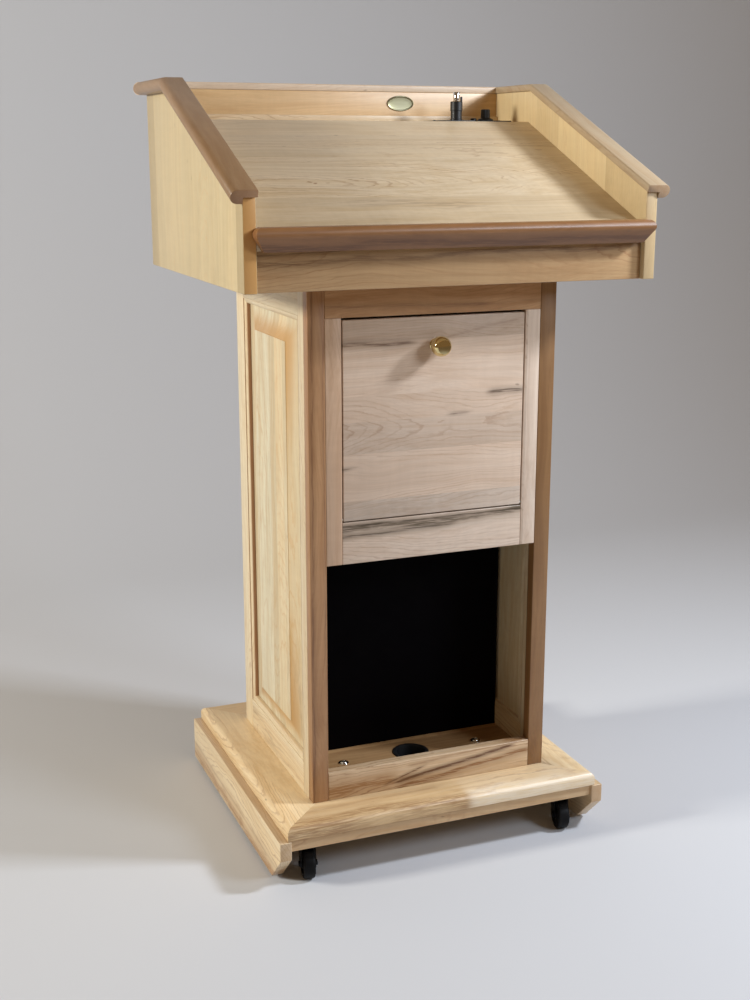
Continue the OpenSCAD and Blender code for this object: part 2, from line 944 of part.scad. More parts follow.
// Release tab that is pressed inwards, in its pocket in the socket's body.
module socket_latch() {
    z0 = plate_z + socket_body_h;
    color(black)
        box(
            socket_x + shell_r + 2.4, socket_x + shell_r + 4.4,
            electronics_py - 3, electronics_py + 3, z0 - 9.7, z0 + 8
        );
}

module volume_knob() {
    color(black)
        translate([volume_x, electronics_py, plate_z])
            difference() {
                union() {
                    translate([0, 0, 0.5]) cylinder(h = 3, r = 13.5);
                    translate([0, 0, 3]) cylinder(h = 16.5, r = 8);
                }
                translate([0, 0, -1]) cylinder(h = 13, r = shaft_r, $fn = 32);
            }
}

// Potentiometer can under the shelf, with its bush up through the shelf and the plate.
module volume_control() {
    color(steel)
        translate([volume_x, electronics_py, plate_z - stock - plate_t])
            difference() {
                union() {
                    translate([0, 0, -12]) cylinder(h = 12, r = 12);
                    translate([0, 0, -1]) cylinder(h = stock + plate_t + 1, r = 4.4);
                }
                translate([0, 0, -8])
                    cylinder(h = stock + plate_t + 9, r = shaft_r + 0.05, $fn = 32);
            }
}

module volume_shaft() {
    color(steel)
        translate([volume_x, electronics_py, plate_z - stock - plate_t - 6])
            cylinder(h = stock + plate_t + 6 + 12, r = shaft_r, $fn = 32);
}

// Plain oval plaque.
module badge() {
    badge_x = 117;
    badge_z = cheek_flat_z - 19;
    color(brass)
        translate([badge_x, riser_y, badge_z])
            rotate([90, 0, 0])
                linear_extrude(2)
                    union() {
                        translate([-12, 0]) circle(r = 13);
                        translate([12, 0]) circle(r = 13);
                        translate([-12, -13]) square([24, 26]);
                    }
}

left_cheek();
right_cheek();
left_cap();
right_cap();
rear_cap();
reading_surface();
apron();
book_stop();
equipment_shelf();
shelf_trim();
riser_board();
desk_back();
desk_bottom();
left_post();
right_post();
face_top_rail();
flap_stiles();
flap_rail();
flap_door();
flap_knob();
pivot_pins();
pivot_bushes();
flap_catch();
catch_plate();
storage_floor();
divider_panel();
compartment_floor();
cable_grommet();
toe_board();
left_side_frame();
left_side_panel();
right_side_frame();
right_side_panel();
back_frame();
back_panel();
platform_front();
platform_rear();
platform_left();
platform_right();
base_deck();
left_runner();
right_runner();
floor_bolts();
caster_plates();
front_left_fork();
front_left_wheel();
front_right_fork();
front_right_wheel();
rear_left_fork();
rear_left_wheel();
rear_right_fork();
rear_right_wheel();
control_plates();
microphone_socket();
socket_shell();
socket_latch();
volume_knob();
volume_control();
volume_shaft();
badge();
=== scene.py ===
"""Finished look of a maple presentation lectern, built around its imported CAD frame."""

import json
import logging
import math
from collections.abc import Sequence
from dataclasses import dataclass
from enum import Enum

import bmesh
import bpy
import numpy as np
from mathutils import Matrix, Vector


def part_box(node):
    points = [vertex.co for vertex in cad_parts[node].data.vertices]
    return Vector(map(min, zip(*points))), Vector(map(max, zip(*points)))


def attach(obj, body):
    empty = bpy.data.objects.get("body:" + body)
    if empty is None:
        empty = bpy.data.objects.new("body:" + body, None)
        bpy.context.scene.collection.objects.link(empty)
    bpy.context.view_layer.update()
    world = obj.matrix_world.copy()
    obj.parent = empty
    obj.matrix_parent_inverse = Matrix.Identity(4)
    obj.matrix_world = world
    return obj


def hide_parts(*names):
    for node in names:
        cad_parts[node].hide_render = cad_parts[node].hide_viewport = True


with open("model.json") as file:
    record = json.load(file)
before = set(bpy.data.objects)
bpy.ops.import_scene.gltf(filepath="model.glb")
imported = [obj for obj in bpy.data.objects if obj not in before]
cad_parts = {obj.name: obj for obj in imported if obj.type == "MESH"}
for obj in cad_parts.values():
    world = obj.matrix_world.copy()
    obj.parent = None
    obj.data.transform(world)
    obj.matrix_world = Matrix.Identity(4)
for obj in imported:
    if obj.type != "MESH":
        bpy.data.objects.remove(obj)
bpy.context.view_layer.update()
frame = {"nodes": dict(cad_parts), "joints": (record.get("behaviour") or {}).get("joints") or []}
log = logging.getLogger("lectern")

MM = 0.001
X, Y, Z = np.eye(3)
SLOPE = math.radians(22.5)
UP_SLOPE = np.array([0.0, math.cos(SLOPE), math.sin(SLOPE)])

Colour = tuple[float, float, float, float]
Points = Sequence[Sequence[float]]


# ---------------------------------------------------------------- meshes


@dataclass
class Shell:
    """Vertices and faces of one or more closed shells, in metres."""

    verts: np.ndarray
    faces: list[np.ndarray]
    smooth: list[np.ndarray]

    def merge(self, other: "Shell") -> "Shell":
        """Adds another set of shells to this one.

        Args:
            other: the set to add.

        Returns:
            This set.
        """
        self.faces += [loops + len(self.verts) for loops in other.faces]
        self.smooth += other.smooth
        self.verts = np.vstack([self.verts, other.verts])
        return self

    def moved(self, rows: np.ndarray, origin: np.ndarray | float = 0.0) -> "Shell":
        """Carries every point p to origin + p @ rows."""
        self.verts = self.verts @ rows + origin
        return self

    def build(self, name: str, crease: float) -> bpy.types.Object:
        """Makes the object, with doubles merged and faces turned outwards.

        Args:
            name: the piece's name.
            crease: angle in degrees past which an edge between smooth faces stays sharp.

        Returns:
            The new object, linked to the scene.
        """
        mesh = bpy.data.meshes.new(name)
        faces = [tuple(face) for loops in self.faces for face in loops.tolist()]
        mesh.from_pydata(self.verts, [], faces)
        mesh.polygons.foreach_set("use_smooth", np.concatenate(self.smooth))
        work = bmesh.new()
        work.from_mesh(mesh)
        bmesh.ops.remove_doubles(work, verts=work.verts, dist=1e-6)
        bmesh.ops.dissolve_degenerate(work, edges=work.edges, dist=1e-7)
        bmesh.ops.recalc_face_normals(work, faces=work.faces)
        work.to_mesh(mesh)
        work.free()
        mesh.set_sharp_from_angle(angle=math.radians(crease))
        return linked(name, mesh)


def linked(name: str, data: bpy.types.ID) -> bpy.types.Object:
    """New object in the scene.

    Args:
        name: its name.
        data: its mesh, light or camera.

    Returns:
        The object.
    """
    made = bpy.data.objects.new(name, data)
    bpy.context.scene.collection.objects.link(made)
    return made


def joined(shells: Sequence[Shell]) -> Shell:
    """One set made of several.

    Args:
        shells: the sets, the first of which takes in the others.

    Returns:
        The first set.
    """
    first, *rest = shells
    for shell in rest:
        first.merge(shell)
    return first


def loft(rings: np.ndarray | list[np.ndarray], smooth: bool = True, closed: bool = False) -> Shell:
    """Skins rings of equal length: point j of ring i is the surface's value at (i, j).

    Args:
        rings: (n, m, 3) points, each ring a closed loop.
        smooth: whether the sides are shaded smooth.
        closed: whether the last ring joins the first, so that there are no end caps.

    Returns:
        The closed shell.
    """
    rings = np.asarray(rings)
    n, m, _ = rings.shape
    i = np.arange(n if closed else n - 1)[:, None]
    j = np.arange(m)[None, :]
    here, there = i % n * m, (i + 1) % n * m
    quads = np.stack([here + j, here + (j + 1) % m, there + (j + 1) % m, there + j], -1).reshape(-1, 4)
    shell = Shell(rings.reshape(-1, 3), [quads], [np.full(len(quads), smooth)])
    if not closed:
        loop = np.arange(m)
        shell.faces += [loop[None, ::-1], loop[None, :] + (n - 1) * m]
        shell.smooth += [np.array([False, False])]
    return shell


def eased_loop(outline: np.ndarray, ease: float, inset: float) -> np.ndarray:
    """Convex anticlockwise outline with rounded corners, shrunk inwards by inset.

    Each corner's arc is centred ease inside both of its edges, and a point lies at
    centre + (ease - inset) * direction, where direction turns from one edge's outward
    normal to the next one's.

    Args:
        outline: (n, 2) corners.
        ease: radius of every corner.
        inset: how far the loop is shrunk, at most ease.

    Returns:
        (4 n, 2) points.
    """
    edge = np.roll(outline, -1, axis=0) - outline
    edge /= np.linalg.norm(edge, axis=1, keepdims=True)
    after = np.stack([edge[:, 1], -edge[:, 0]], 1)
    before = np.roll(after, 1, axis=0)
    centre = outline - (before + after) / (1 + (before * after).sum(1, keepdims=True)) * ease
    start = np.arctan2(before[:, 1], before[:, 0])
    turn = np.arctan2(after[:, 1], after[:, 0]) - start
    turn = (turn + np.pi) % (2 * np.pi) - np.pi
    angle = start[:, None] + turn[:, None] * np.linspace(0, 1, 4)[None, :]
    arrow = np.stack([np.cos(angle), np.sin(angle)], -1)
    return (centre[:, None, :] + (ease - inset) * arrow).reshape(-1, 2)


def run_along(axis: str, outline: Points, lo: float, hi: float, ease: float) -> Shell:
    """Board with eased edges: an outline carried along a row axis.

    Near each end the loop shrinks by ease * (1 - sin t) while it moves ease * (1 - cos t),
    so that the end's edges are rounded like the outline's corners.

    Args:
        axis: x or z.
        outline: convex anticlockwise corners, in (y, z) for x and in (x, y) for z.
        lo: first end.
        hi: last end.
        ease: radius of every edge.

    Returns:
        The shell.
    """
    t = np.linspace(0, np.pi / 2, 4)
    run_in, shrink = ease * (1 - np.cos(t)), ease * (1 - np.sin(t))
    along = np.concatenate([lo + run_in, hi - run_in[::-1]])
    rings = []
    for w, inset in zip(along, np.concatenate([shrink, shrink[::-1]])):
        loop = eased_loop(np.asarray(outline, dtype=float), ease, inset)
        rings.append(np.column_stack([loop, np.full(len(loop), w)]))
    return loft(rings, False).moved(np.array([Y, Z, X] if axis == "x" else [X, Y, Z]))


def mm(*points: Sequence[float]) -> np.ndarray:
    """Points given in millimetres."""
    return np.array(points) * MM


def rectangle(u0: float, u1: float, v0: float, v1: float) -> np.ndarray:
    """Anticlockwise corners of a rectangle."""
    return np.array([(u0, v0), (u1, v0), (u1, v1), (u0, v1)])


def block(lo: Sequence[float], hi: Sequence[float], ease: float) -> Shell:
    """Box with eased edges between two corners."""
    return run_along("z", rectangle(lo[0], hi[0], lo[1], hi[1]), lo[2], hi[2], ease)


def lathe(
    profile: Points,
    origin: Sequence[float],
    axis: np.ndarray,
    segments: int,
    smooth: bool = True,
    closed: bool = False,
) -> Shell:
    """Turns a profile about an axis: point (r, h) goes to origin + r * spoke(angle) + h * axis.

    Args:
        profile: (r, h) points, from axis to axis or round a closed loop.
        origin: point on the axis.
        axis: unit vector along the axis.
        segments: points round the circle.
        smooth: whether the turned faces are shaded smooth.
        closed: whether the profile is a loop clear of the axis.

    Returns:
        The closed shell.
    """
    r, h = np.asarray(profile, dtype=float).T
    side = np.cross(axis, X if abs(axis[0]) < 0.9 else Y)
    side /= np.linalg.norm(side)
    angle = np.linspace(0, 2 * np.pi, segments, endpoint=False)[:, None]
    spoke = np.cos(angle) * side + np.sin(angle) * np.cross(axis, side)
    rings = np.maximum(r, 1e-9)[:, None, None] * spoke + h[:, None, None] * axis + np.asarray(origin)
    return loft(rings, smooth, closed)


def arc(centre: Sequence[float], radius: float, start: float, end: float, steps: int) -> np.ndarray:
    """Points on an arc, with its angles in degrees."""
    angle = np.radians(np.linspace(start, end, steps + 1))
    return np.column_stack([centre[0] + radius * np.cos(angle), centre[1] + radius * np.sin(angle)])


# ---------------------------------------------------------------- shader helpers


class Value:
    """An output of a node, with the arithmetic that formulas need."""

    def __init__(self, tree: "Tree", socket: bpy.types.NodeSocket) -> None:
        """Keeps the tree that the socket belongs to."""
        self.tree = tree
        self.socket = socket

    def __add__(self, other: object) -> "Value":
        """Sum."""
        return self.tree.math("ADD", self, other)

    def __sub__(self, other: object) -> "Value":
        """Difference."""
        return self.tree.math("SUBTRACT", self, other)

    def __rsub__(self, other: float) -> "Value":
        """Difference from a number."""
        return self.tree.math("SUBTRACT", other, self)

    def __mul__(self, other: object) -> "Value":
        """Product."""
        return self.tree.math("MULTIPLY", self, other)

    def __truediv__(self, other: object) -> "Value":
        """Quotient."""
        return self.tree.math("DIVIDE", self, other)

    def __abs__(self) -> "Value":
        """Absolute value."""
        return self.tree.math("ABSOLUTE", self)

    def ramp(self, low: object, high: object) -> "Value":
        """Smooth step from 0 at low to 1 at high."""
        inputs = {"Value": self, "From Min": low, "From Max": high}
        return self.tree.add("MapRange", inputs, interpolation_type="SMOOTHSTEP")["Result"]


class Tree:
    """Short calls for adding and linking nodes in one tree."""

    def __init__(self, tree: bpy.types.NodeTree) -> None:
        """Keeps the tree to add nodes to."""
        self.tree = tree

    def put(self, target: bpy.types.NodeSocket, value: object) -> None:
        """Links a value to a socket, or sets the socket to a constant.

        Args:
            target: the socket.
            value: a value in this tree, or a number, vector or colour.
        """
        if isinstance(value, Value):
            self.tree.links.new(value.socket, target)
        else:
            target.default_value = value

    def add(self, kind: str, inputs: dict | None = None, **settings: object) -> dict:
        """Adds a node.

        Args:
            kind: the node's type without the ShaderNode prefix.
            inputs: values by input name or number.
            settings: properties of the node.

        Returns:
            The node's outputs, by name and by number.
        """
        node = self.tree.nodes.new("ShaderNode" + kind)
        for key, value in settings.items():
            setattr(node, key, value)
        for key, value in (inputs or {}).items():
            self.put(node.inputs[key], value)
        made = [Value(self, socket) for socket in node.outputs]
        return {**{value.socket.name: value for value in made}, **dict(enumerate(made))}

    def math(self, operation: str, *values: object, clamp: bool = False) -> Value:
        """Result of a Math node."""
        return self.add("Math", dict(enumerate(values)), operation=operation, use_clamp=clamp)[0]

    def mix(self, factor: object, first: object, second: object, blend: str = "MIX") -> Value:
        """Colour mixed from first to second by factor."""
        return self.add("Mix", {0: factor, 6: first, 7: second}, data_type="RGBA", blend_type=blend)[2]

    def split(self, whole: Value, kind: str = "XYZ") -> tuple[Value, Value, Value]:
        """The three parts of a vector, or of a colour with the kind Color."""
        parts = self.add("Separate" + kind, {0: whole})
        return parts[0], parts[1], parts[2]

    def stretched(self, place: Sequence[Value], along: float, across: float) -> Value:
        """Grain place with its first part times along and the other two times across."""
        run, side, deep = place
        return self.add("CombineXYZ", {0: run * along, 1: side * across, 2: deep * across})[0]

    def noise(
        self, place: Sequence[Value], along: float, across: float, detail: float, rough: float = 0.5
    ) -> Value:
        """Noise at a grain place.

        Args:
            place: its three parts.
            along: scale along the grain.
            across: scale across the grain.
            detail: octaves of the noise.
            rough: weight of each finer octave.

        Returns:
            A value from 0 to 1.
        """
        place = self.stretched(place, along, across)
        inputs = {"Vector": place, "Scale": 1.0, "Detail": detail, "Roughness": rough}
        return self.add("TexNoise", inputs)["Fac"]

    def dice(self, *parts: object) -> dict:
        """Outputs of a white noise, thrown once for each different set of three numbers."""
        vector = self.add("CombineXYZ", dict(enumerate(parts)))[0]
        return self.add("TexWhiteNoise", {"Vector": vector}, noise_dimensions="3D")


def new_group(name: str, inputs: dict[str, object], outputs: dict[str, str]) -> tuple[Tree, dict, dict]:
    """Starts a shader node group.

    Args:
        name: the group's name.
        inputs: default value by input name: a number, a colour or None for a vector.
        outputs: socket kind by output name.

    Returns:
        The tree, the inputs' values by name and the output sockets by name.
    """
    group = bpy.data.node_groups.new(name, "ShaderNodeTree")
    for key, value in inputs.items():
        kind = "Vector" if value is None else "Float" if isinstance(value, float) else "Color"
        made = group.interface.new_socket(name=key, in_out="INPUT", socket_type="NodeSocket" + kind)
        if value is not None:
            made.default_value = value
    for key, kind in outputs.items():
        group.interface.new_socket(name=key, in_out="OUTPUT", socket_type="NodeSocket" + kind)
    tree = Tree(group)
    source = group.nodes.new("NodeGroupInput")
    sink = group.nodes.new("NodeGroupOutput")
    return tree, {s.name: Value(tree, s) for s in source.outputs}, {s.name: s for s in sink.inputs}


def hue(code: str) -> Colour:
    """Linear colour.

    Args:
        code: six hexadecimal digits of the display colour.

    Returns:
        Red, green, blue and 1.
    """
    part = np.array(list(bytes.fromhex(code))) / 255
    linear = np.where(part <= 0.04045, part / 12.92, ((part + 0.055) / 1.055) ** 2.4)
    return (*linear.tolist(), 1.0)


def figure_group() -> bpy.types.NodeTree:
    """Maple figure in grain space: X along the grain, Y across the board, Z through it.

    The board is cut into glued strips of uneven width (Strip, moved on by Lane), each with
    its own tone. In each strip the growth rings are circles about a pith line beside the
    strip, bent by slow noise and frayed by quick noise (Fray), so that a face shows thin
    flame-like lines and an edge straight ones. Contrast is the lines' strength, and below
    Calm across the board they nearly vanish. Bands of Tan (Band), fibre, soft mottle, small
    dark flecks and grey-brown mineral streaks lie over them. Tone scales the brightness,
    and End and Edge tint the faces that look along the grain and across the board with the
    ring colour: sawn ends and edges on most boards, partly painted shade on a few.

    Returns:
        The node group.
    """
    tree, given, out = new_group(
        "maple_figure",
        {
            "Vector": None,
            **{"End": 0.0, "Strip": 0.07, "Seed": 0.0, "Streak": 0.3, "Contrast": 1.0, "Band": 1.0},
            **{"Lane": 0.0, "Calm": -1.0, "Fray": 1.9, "Tone": 1.0, "Edge": 0.0},
            **{"Pale": hue("e2cca8"), "Tan": hue("cbaa7e")},
            **{"Ring": hue("966842"), "Mineral": hue("5c4636")},
        },
        {"Color": "Color", "Roughness": "Float", "Height": "Float"},
    )
    ring_gap = 0.0037
    seed = given["Seed"]
    along, across, through = tree.split(given["Vector"])
    lane = across / given["Strip"]
    lane = tree.math("SINE", lane * 2.3 + seed) * 0.38 + lane
    strip = tree.math("FLOOR", lane + seed * 0.37) + given["Lane"]
    first, second, third = tree.split(tree.dice(strip, seed, 3.7)["Color"], "Color")
    run = first * 9.0 + along + seed * 1.7
    side = across + (second * 0.14 - 0.07)
    deep = through + (third * 0.10 + 0.03)
    straight = (run, side, deep)
    fray = tree.noise(straight, 20.0, 64.0, 3.0, 0.6)
    side = side + (tree.noise(straight, 2.4, 8.0, 2.0) * 0.08 - 0.04)
    deep = deep + (tree.noise(straight, 1.4, 2.0, 1.0) * 0.2 - 0.1)
    bent = (run, side, deep)
    radius = tree.math("SQRT", side * side + deep * deep)
    rings = fray * given["Fray"] + radius / ring_gap
    phase = tree.math("FRACT", rings)
    cloud = tree.noise(bent, 2.2, 17.0, 3.0)
    fibre = tree.noise(bent, 16.0, 620.0, 3.0, 0.6)
    mottle = tree.noise(bent, 95.0, 22.0, 2.0)
    shown = tree.dice(tree.math("FLOOR", rings), strip, seed)["Value"] * 0.75 + 0.25
    shown = shown * cloud.ramp(0.36, 0.6) * (across.ramp(given["Calm"], given["Calm"] + 0.002) * 0.85 + 0.15)
    line = phase.ramp(0.62, 0.88) * (1.0 - phase.ramp(0.9, 1.0)) * shown
    line = tree.math("MULTIPLY", line, given["Contrast"] * 0.42, clamp=True)

    bands = tree.noise(bent, 1.3, 95.0, 3.0, 0.6).ramp(0.3, 0.75) * given["Band"]
    colour = tree.mix(bands, given["Pale"], given["Tan"])
    colour = tree.mix(first * 0.6, colour, given["Tan"])
    shade = (third * 0.24 + 0.87) * given["Tone"]
    for value, amount in ((fibre, 0.24), (mottle, 0.1), (cloud, 0.3)):
        shade = (value - 0.5) * amount + shade
    colour = tree.mix(line, colour, given["Ring"])
    grey = tree.add("CombineColor", {0: shade, 1: shade, 2: shade})[0]
    colour = tree.mix(1.0, colour, grey, "MULTIPLY")

    vein = 1.0 - abs(tree.noise(bent, 2.4, 42.0, 4.0, 0.65) - 0.5).ramp(0.0, 0.045)
    patch = tree.noise(bent, 1.6, 7.0, 2.0) + (second * 0.2 - 0.1)
    patch = (patch - (0.8 - given["Streak"] * 0.3)).ramp(-0.03, 0.12)
    colour = tree.mix(patch * 0.16, colour, given["Ring"])
    colour = tree.mix(vein * patch * 0.55, colour, given["Mineral"])
    spots = tree.add("TexVoronoi", {"Vector": tree.stretched(bent, 9.0, 26.0), "Scale": 1.0})
    spot = 1.0 - spots["Distance"].ramp(0.012, 0.05)
    colour = tree.mix(spot * 0.5, colour, given["Mineral"])
    end = tree.math("MAXIMUM", given["End"] * 0.42, given["Edge"])
    tree.put(out["Color"], tree.mix(end, colour, given["Ring"]))
    tree.put(out["Roughness"], fibre * 0.14 + 0.31)
    tree.put(out["Height"], fibre - line * 0.6 + mottle * 0.3)
    return tree.tree


def streak_group() -> bpy.types.NodeTree:
    """One streak laid along a board; most are mineral, and a few paint shade and highlight.

    Its strength falls off with the distance from the line across = Offset + Slope * along,
    which slow noise bends, and is broken up by fibre-like noise. It fades out at both ends.

    Returns:
        The node group.
    """
    tree, given, out = new_group(
        "mineral_streak",
        {
            "Vector": None,
            **{"Color": (0.5, 0.4, 0.3, 1.0), "Tint": hue("584230"), "Offset": 0.0, "Slope": 0.0},
            **{"Start": -1.0, "End": 1.0, "Width": 0.006, "Strength": 0.6, "Seed": 0.0},
        },
        {"Color": "Color"},
    )
    along, across, through = tree.split(given["Vector"])
    place = (along + given["Seed"], across, through)
    bend = (tree.noise(place, 7.0, 12.0, 3.0) - 0.5) * (given["Width"] * 3.2)
    gap = abs(across - (given["Slope"] * along + given["Offset"] + bend)) / given["Width"]
    threads = tree.noise(place, 22.0, 560.0, 3.0, 0.7)
    fade_in = along.ramp(given["Start"], given["Start"] + 0.02)
    window = fade_in * (1.0 - along.ramp(given["End"] - 0.03, given["End"]))
    core = (1.0 - gap.ramp(0.15, 1.0)) * threads.ramp(0.26, 0.6)
    halo = (1.0 - gap.ramp(0.3, 2.4)) * 0.35
    mask = tree.math("MAXIMUM", core, halo) * window
    mask = tree.math("MULTIPLY", mask, given["Strength"], clamp=True)
    tree.put(out["Color"], tree.mix(mask, given["Color"], given["Tint"]))
    return tree.tree


def speckle_group() -> bpy.types.NodeTree:
    """Fine even grain for painted, moulded and plated surfaces, with faint wear and dust.

    Returns:
        The node group.
    """
    tree, given, out = new_group(
        "fine_speckle",
        {"Vector": None, "Base": (0.02, 0.02, 0.02, 1.0), "Size": 900.0, "Amount": 0.3, "Gloss": 0.4},
        {"Color": "Color", "Roughness": "Float", "Height": "Float"},
    )
    inputs = {"Vector": given["Vector"], "Scale": given["Size"], "Detail": 2.0}
    fine = tree.add("TexNoise", inputs)["Fac"]
    inputs = {"Vector": given["Vector"], "Scale": 38.0, "Detail": 4.0}
    broad = tree.add("TexNoise", inputs)["Fac"]
    dust = tree.mix(0.35, given["Base"], (0.5, 0.48, 0.45, 1.0))
    tree.put(out["Color"], tree.mix(broad.ramp(0.35, 0.75) * given["Amount"], given["Base"], dust))
    shift = (broad - 0.5) * (given["Gloss"] * 0.8)
    tree.put(out["Roughness"], tree.math("ADD", given["Gloss"], shift, clamp=True))
    tree.put(out["Height"], fine)
    return tree.tree


FIGURE = figure_group()
STREAK = streak_group()
SPECKLE = speckle_group()


@dataclass(frozen=True)
class Streak:
    """One mineral streak: its line across the board, its ends along it, and its strength.

    Most are mineral streaks; the book stop's dark band paints shade and a pale band on the platform's front
    paints a highlight. The offset and the width are in millimetres, the ends in metres from the board's
    middle.
    """

    offset: float
    slope: float = 0.0
    start: float = -1.0
    end: float = 1.0
    width: float = 6.0
    strength: float = 0.6
    tint: str = "584230"


@dataclass(frozen=True)
class MapleLook:
    """One board's figure. Seams, in metres across the board, part strips of the given tones."""

    seed: float
    strip: float = 0.5
    streak: float = 0.3
    contrast: float = 1.0
    pale: str = "dec8a4"
    tan: str = "caaa80"
    ring: str = "966842"
    band: float = 0.8
    edge: float = 0.0
    calm: float = -1.0
    fray: float = 1.9
    edge_range: tuple[float, float] = (0.8, 0.97)
    end_range: tuple[float, float] = (0.75, 0.97)
    end_weight: float = 1.0
    seams: tuple[float, ...] = ()
    tones: tuple[float, ...] = (1.0,)
    streaks: tuple[Streak, ...] = ()


@dataclass(frozen=True)
class SpeckleLook:
    """A painted, moulded or plated finish."""

    base: tuple[float, float, float]
    gloss: float
    size: float
    amount: float = 0.3
    bump: float = 0.1
    metallic: float = 0.0
    specular: float = 0.5


class Finish(Enum):
    """Finishes other than wood."""

    BLACK_PANEL = SpeckleLook((0.0016, 0.0012, 0.0018), 0.6, 260.0, 0.0, 0.05, specular=0.03)
    BLACK_PLATE = SpeckleLook((0.006, 0.006, 0.0065), 0.38, 1500.0, 0.02, 0.12)
    BLACK_PLASTIC = SpeckleLook((0.007, 0.007, 0.0075), 0.42, 1800.0, 0.02, 0.15)
    CASTER_PAINT = SpeckleLook((0.003, 0.003, 0.0035), 0.34, 700.0, 0.03, specular=0.2)
    RUBBER = SpeckleLook((0.002, 0.002, 0.0025), 0.5, 1200.0, 0.03, 0.25, specular=0.15)
    BRASS = SpeckleLook((0.80, 0.67, 0.35), 0.07, 500.0, 0.04, 0.008, metallic=1.0)
    BADGE_BRASS = SpeckleLook((0.27, 0.25, 0.15), 0.45, 900.0, bump=0.05, metallic=1.0)
    CHROME = SpeckleLook((0.78, 0.79, 0.8), 0.1, 700.0, 0.05, 0.01, metallic=1.0)
    STEEL = SpeckleLook((0.55, 0.55, 0.56), 0.32, 700.0, bump=0.05, metallic=1.0)


# Inputs of the figure that take a look's number as it is
PLAIN_INPUTS = ("Calm", "Fray", "Band", "Strip", "Seed", "Streak", "Contrast")


def blank(name: str) -> tuple[bpy.types.Material, Tree, bpy.types.Node]:
    """New material with its shader as it comes.

    Args:
        name: the material's name.

    Returns:
        The material, its tree and its shader.
    """
    material = bpy.data.materials.new(name)
    material.use_nodes = True
    return material, Tree(material.node_tree), material.node_tree.nodes["Principled BSDF"]


def lead(tree: Tree, shader: bpy.types.Node, colour: Value, made: dict, bump: float, depth: float) -> None:
    """Leads a colour and a group's roughness and height to the shader.

    Args:
        tree: the material's tree.
        shader: its shader.
        colour: what the base colour gets.
        made: outputs of the group that gives Roughness and Height.
        bump: strength of the relief.
        depth: its depth in metres.
    """
    relief = tree.add("Bump", {"Height": made["Height"], "Strength": bump, "Distance": depth})
    tree.put(shader.inputs["Base Color"], colour)
    tree.put(shader.inputs["Roughness"], made["Roughness"])
    tree.put(shader.inputs["Normal"], relief["Normal"])


def maple(
    name: str, look: MapleLook, grain: np.ndarray, width: np.ndarray, middle: np.ndarray
) -> bpy.types.Material:
    """Lacquered maple for one board.

    Args:
        name: the material's name.
        look: the board's figure.
        grain: unit vector along the grain.
        width: unit vector across the board's face.
        middle: the board's middle, in the row frame.

    Returns:
        The material.
    """
    material, tree, shader = blank(name)
    turn = Matrix([grain, width, np.cross(grain, width)]).to_euler("XYZ")
    place = tree.add("TexCoord")
    shift = -(turn.to_matrix() @ Vector(middle))
    placed = tree.add("Mapping", {"Vector": place["Object"], "Location": shift, "Rotation": turn})[0]

    def facing(way: np.ndarray, weight: float, low: float, high: float) -> Value:
        """Mask of the faces that look along a direction, either way."""
        dot = tree.add("VectorMath", {0: place["Normal"], 1: tuple(way)}, operation="DOT_PRODUCT")
        return abs(dot["Value"]).ramp(low, high) * weight

    across = tree.split(placed)[1]
    lane, tone = 0.0, look.tones[0]
    for seam, below, above in zip(look.seams, look.tones, look.tones[1:]):
        past = tree.math("GREATER_THAN", across, seam)
        lane = past + lane
        tone = past * (above - below) + tone
    values = {
        "Vector": placed,
        "End": facing(grain, look.end_weight, *look.end_range),
        "Edge": facing(width, look.edge, *look.edge_range),
        "Lane": lane,
        "Tone": tone,
        **{key: getattr(look, key.lower()) for key in PLAIN_INPUTS},
        **{key: hue(getattr(look, key.lower())) for key in ("Pale", "Tan", "Ring")},
    }
    figure = tree.add("Group", values, node_tree=FIGURE)
    colour = figure["Color"]
    for number, streak in enumerate(look.streaks):
        values = {
            "Vector": placed,
            "Color": colour,
            "Tint": hue(streak.tint),
            "Offset": streak.offset * MM,
            "Slope": streak.slope,
            "Start": streak.start,
            "End": streak.end,
            "Width": streak.width * MM,
            "Strength": streak.strength,
            "Seed": look.seed + number,
        }
        colour = tree.add("Group", values, node_tree=STREAK)["Color"]
    lead(tree, shader, colour, figure, 0.1, 0.0003)
    shader.inputs["Coat Weight"].default_value = 0.22
    shader.inputs["Coat Roughness"].default_value = 0.22
    shader.inputs["Specular IOR Level"].default_value = 0.4
    return material


def speckled(finish: Finish) -> bpy.types.Material:
    """Material of a finish, made once.

    Args:
        finish: the finish.

    Returns:
        The material.
    """
    name = "finish_" + finish.name.lower()
    if name in bpy.data.materials:
        return bpy.data.materials[name]
    look = finish.value
    material, tree, shader = blank(name)
    values = {"Base": (*look.base, 1.0), "Size": look.size, "Amount": look.amount, "Gloss": look.gloss}
    values["Vector"] = tree.add("TexCoord")["Object"]
    made = tree.add("Group", values, node_tree=SPECKLE)
    lead(tree, shader, made["Color"], made, look.bump, 0.0002)
    shader.inputs["Metallic"].default_value = look.metallic
    shader.inputs["Specular IOR Level"].default_value = look.specular
    return material


# ---------------------------------------------------------------- placing pieces


def box(node: str) -> tuple[np.ndarray, np.ndarray]:
    """Lowest and highest corner of a CAD node, as arrays."""
    lo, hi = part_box(node)
    return np.array(lo), np.array(hi)


def centre_of(node: str) -> np.ndarray:
    """Middle of a CAD node."""
    return sum(box(node)) / 2


def settle(piece: bpy.types.Object, material: bpy.types.Material, body: str, slot: str, *nodes: str) -> None:
    """Dresses a new piece, rides it on its body and hides the CAD nodes it stands for.

    Args:
        piece: the object.
        material: its one material.
        body: the body it rides on.
        slot: the name of its material slot; not used.
        nodes: CAD nodes it stands for.
    """
    piece.data.materials.append(material)
    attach(piece, body)
    if nodes:
        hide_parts(*nodes)
    log.info("%s rides on %s", piece.name, body)


